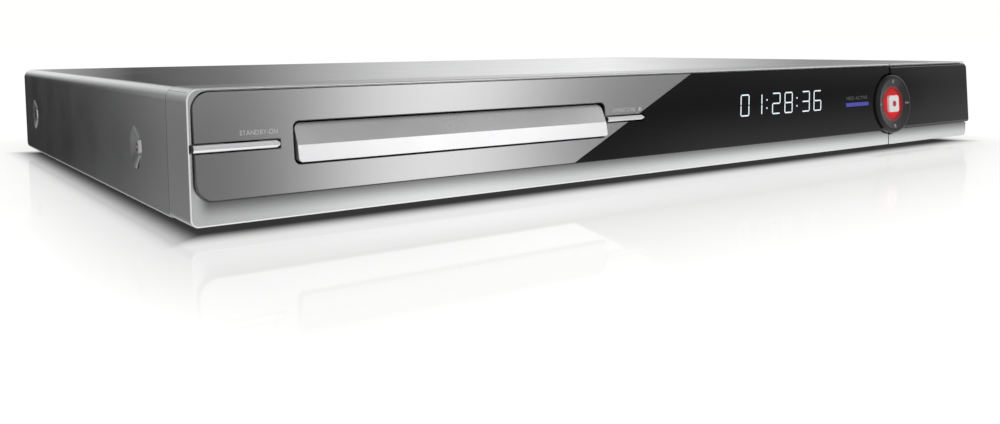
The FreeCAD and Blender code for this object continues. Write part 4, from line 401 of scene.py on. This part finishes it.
finishes = {
    "painted": surface("painted_silver", SILVER, metallic=1.0, rough=0.18, spread=0.01, mottle=0.02,
                       grain=5200.0),
    "moulded": moulded_finish(),
    "satin_bar": surface("satin_silver", (0.86, 0.86, 0.87), metallic=0.8, rough=0.30, spread=0.02,
                         mottle=0.03, grain=3000.0, shadow=bar_shadow),
    "tray_face": surface("tray_silver", (0.95, 0.95, 0.96), metallic=0.85, rough=0.26, spread=0.02,
                         mottle=0.02, grain=5200.0, shadow=tray_shadow),
    "fascia": fascia_finish(),
    "gloss_black": surface("gloss_black", (0.010, 0.010, 0.011), rough=0.10, spread=0.02, mottle=0.1,
                           coat=0.25, coat_rough=0.04, shadow=plate_shadow),
    # The pad is no lamp: its red light round the middle is a painted glow of the record light
    "pad_black": lit_ring("pad_black", (0.012, 0.012, 0.013), 0.20, 7.8, 9.8, 0.0),
    "matte_black": surface("matte_black", BLACK, rough=0.5, mottle=0.15, bump=0.2, bump_grain=3000.0),
    "rubber": surface("foot_rubber", (0.02, 0.02, 0.021), rough=0.75, mottle=0.2, bump=0.3,
                      bump_grain=2200.0),
    "steel": surface("zinc_steel", STEEL, metallic=0.95, rough=0.36, mottle=0.07, grain=160.0, bump=0.05),
    "tin": surface("tin_plate", (0.66, 0.66, 0.65), metallic=0.95, rough=0.3, mottle=0.04, grain=220.0),
    "nickel": surface("nickel_plate", (0.72, 0.70, 0.67), metallic=1.0, rough=0.16, spread=0.04,
                      mottle=0.03),
    "polished": surface("polished_steel", (0.68, 0.68, 0.69), metallic=1.0, rough=0.12, spread=0.03,
                        mottle=0.03),
    "cast": surface("cast_aluminium", (0.36, 0.365, 0.375), metallic=0.85, rough=0.45, mottle=0.1,
                    grain=300.0, bump=0.3, bump_grain=1500.0),
    "mirror": surface("disc_mirror", (0.80, 0.80, 0.82), metallic=1.0, rough=0.05, spread=0.02,
                      mottle=0.01),
    "white": surface("white_plastic", (0.80, 0.79, 0.77), rough=0.4, mottle=0.03, bump=0.1),
    "grey": surface("grey_plastic", (0.16, 0.16, 0.17), rough=0.45, mottle=0.08, bump=0.1),
    "board": surface("circuit_board", (0.02, 0.13, 0.055), rough=0.35, mottle=0.25, grain=420.0, coat=0.3),
    "laminate": surface("power_laminate", (0.36, 0.22, 0.09), rough=0.5, mottle=0.15, grain=260.0),
    "dark_parts": surface("dark_parts", (0.03, 0.03, 0.06), rough=0.35, mottle=0.1),
    "vinyl": surface("ribbon_vinyl", (0.62, 0.62, 0.60), rough=0.45, mottle=0.05),
    "glass": surface("tube_glass", (0.02, 0.03, 0.03), rough=0.06, spread=0.02, coat=1.0),
    "red_glow": lit_ring("red_glow", (0.35, 0.008, 0.012), 0.42, 5.0, 8.1, 0.22),
    "blue_glow": glowing("blue_glow", (0.03, 0.03, 0.14), (0.08, 0.08, 0.50), 0.46),
    "rear_plugs": column_colours("rear_plug_colours", [(p.x, p.z) for p in rear_plugs], rear_colours,
                                 rear_block_face),
    "front_plugs": column_colours("front_plug_colours", [(p.x, p.z) for p in front_plugs], front_colours),
}

# What each node wears; the rest is matte black
wears = {
    "top_cover": "painted", "front_bezel": "moulded", "front_door": "moulded", "fascia_plate": "fascia",
    "door_fascia": "gloss_black", "standby_button": "satin_bar", "open_close_button": "satin_bar",
    "tray_front": "tray_face", "nav_pad": "pad_black", "record_light_ring": "red_glow",
    "record_button": "white", "hdd_light_bar": "blue_glow", "feet": "rubber", "chassis_pan": "steel",
    "rear_panel": "steel", "drive_cover": "steel", "traverse": "steel", "cover_screws": "nickel",
    "rear_rca_block": "rear_plugs", "front_rca_plugs": "front_plugs", "rear_rca_shells": "nickel",
    "front_rca_shells": "nickel", "serial_sockets": "nickel", "inlet_pins": "nickel", "tuner": "tin",
    "door_hinge_pins": "nickel", "hdd_lid": "tin", "loading_motor": "tin", "traverse_motors": "tin",
    "guide_rods": "polished", "lead_screw": "polished", "hdd_base": "cast", "hdd_actuator": "cast",
    "pickup_sled": "cast", "heatsink": "cast", "hdd_platters": "mirror", "drive_gear": "white",
    "motor_pulley": "white", "cam_slider": "white", "board_connectors": "white", "turntable": "grey",
    "nav_gimbal": "grey", "front_boards": "board", "main_board": "board", "power_board": "laminate",
    "power_parts": "dark_parts", "ribbon_cables": "vinyl", "display_tube": "glass",
}
for name, item in nodes.items():
    finish = finishes[wears.get(name, "matte_black")]
    item.data.materials.clear()
    item.data.materials.append(finish)


# Pieces that stand on the face: outlines raised a little, each riding on what carries it

PRINT_BASE, PRINT_THICK = 0.02, 0.04


def raised(name, outlines, point, thick, finish, body):
    """Flat outlines lifted to a thickness. point(u, v, proud) places each corner on the object."""
    mesh = bmesh.new()
    for outline in outlines:
        low = [mesh.verts.new(point(u, v, 0.0)) for u, v in outline]
        high = [mesh.verts.new(point(u, v, thick)) for u, v in outline]
        mesh.faces.new(high)
        mesh.faces.new(list(reversed(low)))
        count = len(outline)
        for i in range(count):
            mesh.faces.new((low[i], low[(i + 1) % count], high[(i + 1) % count], high[i]))
    bmesh.ops.recalc_face_normals(mesh, faces=mesh.faces)
    data = bpy.data.meshes.new(name)
    mesh.to_mesh(data)
    mesh.free()
    item = new_object(name, data)
    data.materials.append(finish)
    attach(item, body)


def on_face(u, v, proud):
    """A point of a print on the leaning face."""
    return face(u, v, PRINT_BASE + proud)


def on_pad(u, v, proud):
    """A point above the round pad's rim, measured from the pad's middle."""
    return face(PAD_X + u, PAD_CLIMB + v, PAD_PROUD + proud)


def on_record_button(u, v, proud):
    """A point just above the record button in the pad's middle."""
    return on_pad(u, v, 0.01 - RECORD_SUNK + proud)


def on_dish(u, v, proud):
    """A point just above the pad's dish, which falls evenly from its rim inward."""
    sunk = DISH_DEPTH * max(0.0, DISH_RIM - math.hypot(u, v)) / DISH_WIDTH
    return on_pad(u, v, 0.04 + proud - sunk)


def block(u, v, half_u, half_v):
    """A rectangle round its middle."""
    return [(u + a * half_u, v + b * half_v) for a, b in ((-1, -1), (1, -1), (1, 1), (-1, 1))]


def polygon(u, v, reach, sides, turn=0.0):
    """A regular outline with its first corner in the direction of turn."""
    angles = [turn + n * math.tau / sides for n in range(sides)]
    return [(math.cos(angle) * reach + u, math.sin(angle) * reach + v) for angle in angles]


def segment(u0, v0, u1, v1, thick):
    """A slim lozenge from one point to another, as a display segment."""
    first, last = Vector((u0, v0)), Vector((u1, v1))
    run = (last - first).normalized()
    side = Vector((-run.y, run.x)) * thick / 2
    ends = run * thick * 0.5
    corners = (first, first + ends + side, last - ends + side, last, last - ends - side, first + ends - side)
    return [(corner.x, corner.y) for corner in corners]


STROKES = {"a": ((0, 1), (1, 1)), "b": ((1, 1), (1, 0.5)), "c": ((1, 0.5), (1, 0)), "d": ((0, 0), (1, 0)),
           "e": ((0, 0.5), (0, 0)), "f": ((0, 1), (0, 0.5)), "g": ((0, 0.5), (1, 0.5))}
SEGMENTS = {"0": "abcdef", "1": "bc", "2": "abged", "3": "abgcd", "6": "afgedc", "8": "abcdefg"}


def digits(text, start_u, low, wide, tall, pitch, thick, slant):
    """Segment outlines for a row of plain digits and colons."""
    outlines = []
    u = start_u
    for letter in text:
        def spot(a, b):
            return (u + a * wide + b * tall * slant, low + b * tall)
        if letter == ":":
            outlines += [block(*spot(0.0, b), thick * 0.62, thick * 0.62) for b in (0.3, 0.7)]
            u += pitch * 0.45
            continue
        for key in SEGMENTS[letter]:
            p, q = (Vector(spot(a, b)) for a, b in STROKES[key])
            gap = (q - p).normalized() * thick * 0.18
            outlines.append(segment(*(p + gap), *(q - gap), thick))
        u += pitch
    return outlines


def lettering(name, text, u, v, tall, finish, body, align="LEFT", stretch=1.0):
    """Printed words on the leaning face, as a thin raised print."""
    curve = bpy.data.curves.new(name + "_line", "FONT")
    curve.body = text
    curve.size = tall * 1.38 * MM
    curve.align_x = align
    curve.extrude = PRINT_THICK * MM / 2
    curve.space_character = 1.04
    words = new_object(name + "_line", curve)
    bpy.context.view_layer.update()
    data = bpy.data.meshes.new_from_object(words)
    bpy.data.objects.remove(words)
    up = Vector((0, math.sin(LEAN), math.cos(LEAN)))
    across = Vector((1, 0, 0))
    turn = Matrix((across * stretch, up, across.cross(up))).transposed().to_4x4()
    data.transform(Matrix.Translation(on_face(u, v, PRINT_THICK / 2)) @ turn)
    data.materials.clear()
    data.materials.append(finish)
    item = new_object(name, data)
    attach(item, body)


lit = glowing("display_glow", (0.45, 0.5, 0.52), (0.80, 0.90, 0.92), 0.70)
clock = digits("01:28:36", start_u=242.3, low=12.9, wide=5.3, tall=9.2, pitch=8.85, thick=0.58, slant=0.10)
raised("display_digits", clock, on_face, 0.05, lit, "chassis")

pale_ink = surface("pale_ink", (0.52, 0.52, 0.525), rough=0.5, mottle=0.05)
dim_ink = surface("dim_ink", (0.085, 0.088, 0.092), rough=0.5, mottle=0.05)
pad_ink = surface("pad_ink", (0.22, 0.225, 0.23), rough=0.5, mottle=0.05)
lettering("standby_word", "STANDBY-ON", 27.5, 19.0, 1.57, pale_ink, "chassis",
          align="RIGHT", stretch=0.86)
lettering("open_word", "OPEN/CLOSE", 178.9, 18.4, 1.5, pale_ink, "chassis", align="RIGHT")
lettering("active_word", "HDD ACTIVE", 320.7, 16.6, 1.75, dim_ink, "chassis", stretch=1.2)

arrow = [(180.2, 18.9), (182.2, 18.9), (181.2, 20.1)]
raised("open_mark", [arrow, block(181.2, 18.55, 1.0, 0.15)], on_face, PRINT_THICK, pale_ink,
       "chassis")

marks = [
    block(-0.55, 11.4, 0.28, 0.9), block(0.55, 11.4, 0.28, 0.9),
    block(0.0, -11.4, 0.85, 0.85),
    polygon(11.0, 0.0, 0.85, 3), polygon(12.3, 0.0, 0.85, 3),
    polygon(-11.0, 0.0, 0.85, 3, math.pi), polygon(-12.3, 0.0, 0.85, 3, math.pi),
]
raised("pad_marks", marks, on_dish, 0.03, pad_ink, "pad")

red_dot = surface("red_print", (0.42, 0.02, 0.05), rough=0.3, mottle=0.04)
raised("record_dot", [polygon(0.0, 0.0, 1.5, 24)], on_record_button, 0.05, red_dot, "record_key")


# Floor, backdrop, light and camera

PALE = (1.0, 1.0, 0.992, 1)

# The floor: half the depth of its patch of painted shadow, and how far past the body its reflection reaches
PATCH_HALF_DEPTH = 143.5
REACH_X, REACH_Y = 40.0, 117.0

# Half the floor's side and the backdrop's radius, in metres
FLOOR_HALF, BACKDROP_RADIUS = 12.0, 11.0


def floor_finish():
    """White gloss floor: a painted shadow dark close under the body, with a faint reflection that soon fades
    out.
    """
    material, graph, output, place = blank("studio_floor")
    x, y, _ = graph.split(place)
    past_x = graph.math("SUBTRACT", graph.math("ABSOLUTE", x), WIDTH / 2 * MM)
    past_y = graph.math("SUBTRACT", graph.math("ABSOLUTE", y), PATCH_HALF_DEPTH * MM)
    past = graph.largest(past_x, graph.math("ADD", past_y, 3.0 * MM))
    # Painted contact shadow: lit falls from 1 to near black close under the body
    lit = graph.remap(past, -6.0 * MM, 12.0 * MM, 0.035, 1.0)
    lit = graph.product(lit, graph.noise(place, 30.0, 0.99, 1.0))
    matt = graph.add("ShaderNodeBsdfDiffuse")
    graph.join(graph.product(lit, 0.22), matt.inputs["Color"])
    fill = graph.add("ShaderNodeEmission")
    fill.inputs["Color"].default_value = PALE
    graph.join(graph.product(lit, 0.86), fill.inputs["Strength"])
    base = graph.add("ShaderNodeAddShader")
    graph.join(matt.outputs[0], base.inputs[0])
    graph.join(fill.outputs[0], base.inputs[1])
    gloss = graph.add("ShaderNodeBsdfGlossy")
    gloss.inputs["Roughness"].default_value = 0.05
    reach_x = graph.math("DIVIDE", graph.largest(past_x, 0.0), REACH_X * MM)
    reach_y = graph.math("DIVIDE", graph.largest(past_y, 0.0), REACH_Y * MM)
    squares = graph.math("ADD", graph.product(reach_x, reach_x), graph.product(reach_y, reach_y))
    mirror = graph.remap(graph.math("SQRT", squares), 0.0, 1.0, 0.36, 0.0, smooth=False)
    mix = graph.add("ShaderNodeMixShader")
    graph.join(graph.product(mirror, lit), mix.inputs[0])
    graph.join(base.outputs[0], mix.inputs[1])
    graph.join(gloss.outputs[0], mix.inputs[2])
    graph.join(mix.outputs[0], output)
    return material


def backdrop_finish():
    """Plain paper white that needs no light."""
    material, graph, output, _ = blank("studio_backdrop")
    light = graph.add("ShaderNodeEmission")
    light.inputs["Color"].default_value = PALE
    light.inputs["Strength"].default_value = 1.0
    graph.join(light.outputs[0], output)
    return material


def stage_piece(name, make, finish):
    """A piece of the studio that only the camera sees. make(mesh) fills its mesh."""
    mesh = bmesh.new()
    make(mesh)
    data = bpy.data.meshes.new(name)
    mesh.to_mesh(data)
    mesh.free()
    item = new_object(name, data)
    data.materials.append(finish)
    item.visible_diffuse = item.visible_glossy = item.visible_transmission = item.visible_shadow = False


def fill_floor(mesh):
    bmesh.ops.create_grid(mesh, x_segments=1, y_segments=1, size=FLOOR_HALF)


def fill_backdrop(mesh):
    bmesh.ops.create_icosphere(mesh, subdivisions=4, radius=BACKDROP_RADIUS)


stage_piece("floor", fill_floor, floor_finish())
stage_piece("backdrop", fill_backdrop, backdrop_finish())

# Soft boxes and dark cards of the studio as light levels. Each band has its angle above the horizon and
# then headings with the level there, 0 to the rear and 90 to the right, all angles in degrees.
# No level is above the brightest.
BRIGHTEST = 2.0
BANDS = (
    (-25, ((-180, 1.0), (-70, 0.85), (-25, 0.4), (-13, 0.4), (8, 0.8), (30, 0.9), (110, 0.9), (132, 1.5),
           (172, 1.0), (180, 1.0))),
    (-6, ((-180, 0.9), (-120, 0.95), (-70, 0.8), (-40, 0.0), (-25, 0.0), (-18, 0.45), (-13, 0.0),
          (-4, 0.0), (8, 0.6), (14, 0.5), (42, 0.85), (54, 0.65), (85, 0.9), (110, 0.65), (132, 1.4),
          (140, 0.1), (146, 1.25), (152, 1.25), (158, 0.1), (164, 0.05), (180, 0.9))),
    (2, ((-180, 0.75), (-120, 0.95), (-70, 0.85), (-40, 0.05), (-25, 0.15), (-18, 0.7), (-13, 0.0),
         (-4, 0.0), (-1, 0.85), (8, 1.0), (9.5, 0.4), (14, 0.0), (20, 0.25), (30, 0.9), (42, 1.25),
         (54, 0.35), (61, 0.3), (63, 0.95), (85, 0.95), (110, 0.65), (122, 0.0), (140, 0.0), (146, 1.25),
         (152, 1.2), (158, 0.0), (172, 0.0), (180, 0.75))),
    (10, ((-180, 0.85), (-120, 0.95), (-70, 0.85), (-40, 0.3), (-8, 0.5), (-4, 0.7), (-1, 1.05),
          (8, 1.0), (9.5, 0.55), (14, 0.1), (20, 0.1), (30, 0.7), (42, 1.0), (54, 0.3), (61, 0.45),
          (63, 1.0), (110, 1.1), (122, 1.05), (132, 0.3), (140, 0.65), (146, 1.65), (158, 0.1),
          (172, 0.35), (180, 0.85))),
    (20, ((-180, 0.9), (-70, 0.85), (-40, 0.6), (-1, 0.8), (8, 0.65), (20, 0.2), (42, 0.45), (54, 0.3),
          (63, 0.65), (122, 1.25), (140, 1.9), (146, 1.2), (158, 1.35), (172, 0.8), (180, 0.9))),
    (34, ((-180, 0.95), (-40, 0.8), (-4, 0.9), (20, 0.6), (54, 0.6), (63, 0.8), (85, 0.85), (110, 0.65),
          (122, 0.1), (132, 0.05), (140, 0.4), (146, 0.2), (164, 0.75), (180, 0.95))),
    (50, ((-180, 0.95), (-40, 0.85), (-4, 0.95), (54, 0.75), (85, 0.85), (132, 0.1), (146, 0.0),
          (152, 0.05), (164, 0.55), (180, 0.95))),
)


def compass(stops):
    """Stops of a ramp that runs once round the studio, its levels as shares of the brightest."""
    return [((heading + 180) / 360, level / BRIGHTEST) for heading, level in stops]


world = bpy.data.worlds.new("studio")
bpy.context.scene.world = world
world.use_nodes = True
graph = Graph(world.node_tree)
east, north, height = graph.split(graph.add("ShaderNodeTexCoord").outputs["Generated"])
heading = graph.remap(graph.math("ARCTAN2", east, north), -math.pi, math.pi, smooth=False)
heights = [math.sin(math.radians(angle)) for angle, _ in BANDS]
levels = [graph.ramp(heading, compass(stops)) for _, stops in BANDS]
light = levels[0]
for low, high, level in zip(heights, heights[1:], levels[1:]):
    light = graph.blend(graph.remap(height, low, high, smooth=False), light, level)
background = graph.add("ShaderNodeBackground")
graph.join(light, background.inputs["Color"])
background.inputs["Strength"].default_value = BRIGHTEST
graph.join(background.outputs[0], graph.add("ShaderNodeOutputWorld").inputs["Surface"])

scene = bpy.context.scene
scene.view_settings.view_transform = "Standard"
scene.view_settings.look = "None"

# The camera: picture width and focal length in pixels, sensor width, place, and turns in degrees
PHOTO_WIDTH, FOCAL_LENGTH, SENSOR = 1000.0, 931.0, 36.0
CAMERA_PLACE, CAMERA_TURN = at(-82.91, -273.5, 54.38), (35.503, -4.611, -0.461)
lens = bpy.data.cameras.new("camera")
camera = new_object("camera", lens)
yaw, pitch, roll = (math.radians(angle) for angle in CAMERA_TURN)
forward = Vector((math.sin(yaw) * math.cos(pitch), math.cos(yaw) * math.cos(pitch), math.sin(pitch)))
level_right = forward.cross(Vector((0, 0, 1))).normalized()
level_up = level_right.cross(forward)
right = level_right * math.cos(roll) + level_up * math.sin(roll)
up = level_up * math.cos(roll) - level_right * math.sin(roll)
turn = Matrix((right, up, -forward)).transposed().to_4x4()
camera.matrix_world = Matrix.Translation(CAMERA_PLACE) @ turn
lens.sensor_width = SENSOR
lens.lens = FOCAL_LENGTH * SENSOR / PHOTO_WIDTH
lens.shift_y = -0.095
lens.clip_start, lens.clip_end = 0.01, 60.0
scene.camera = camera
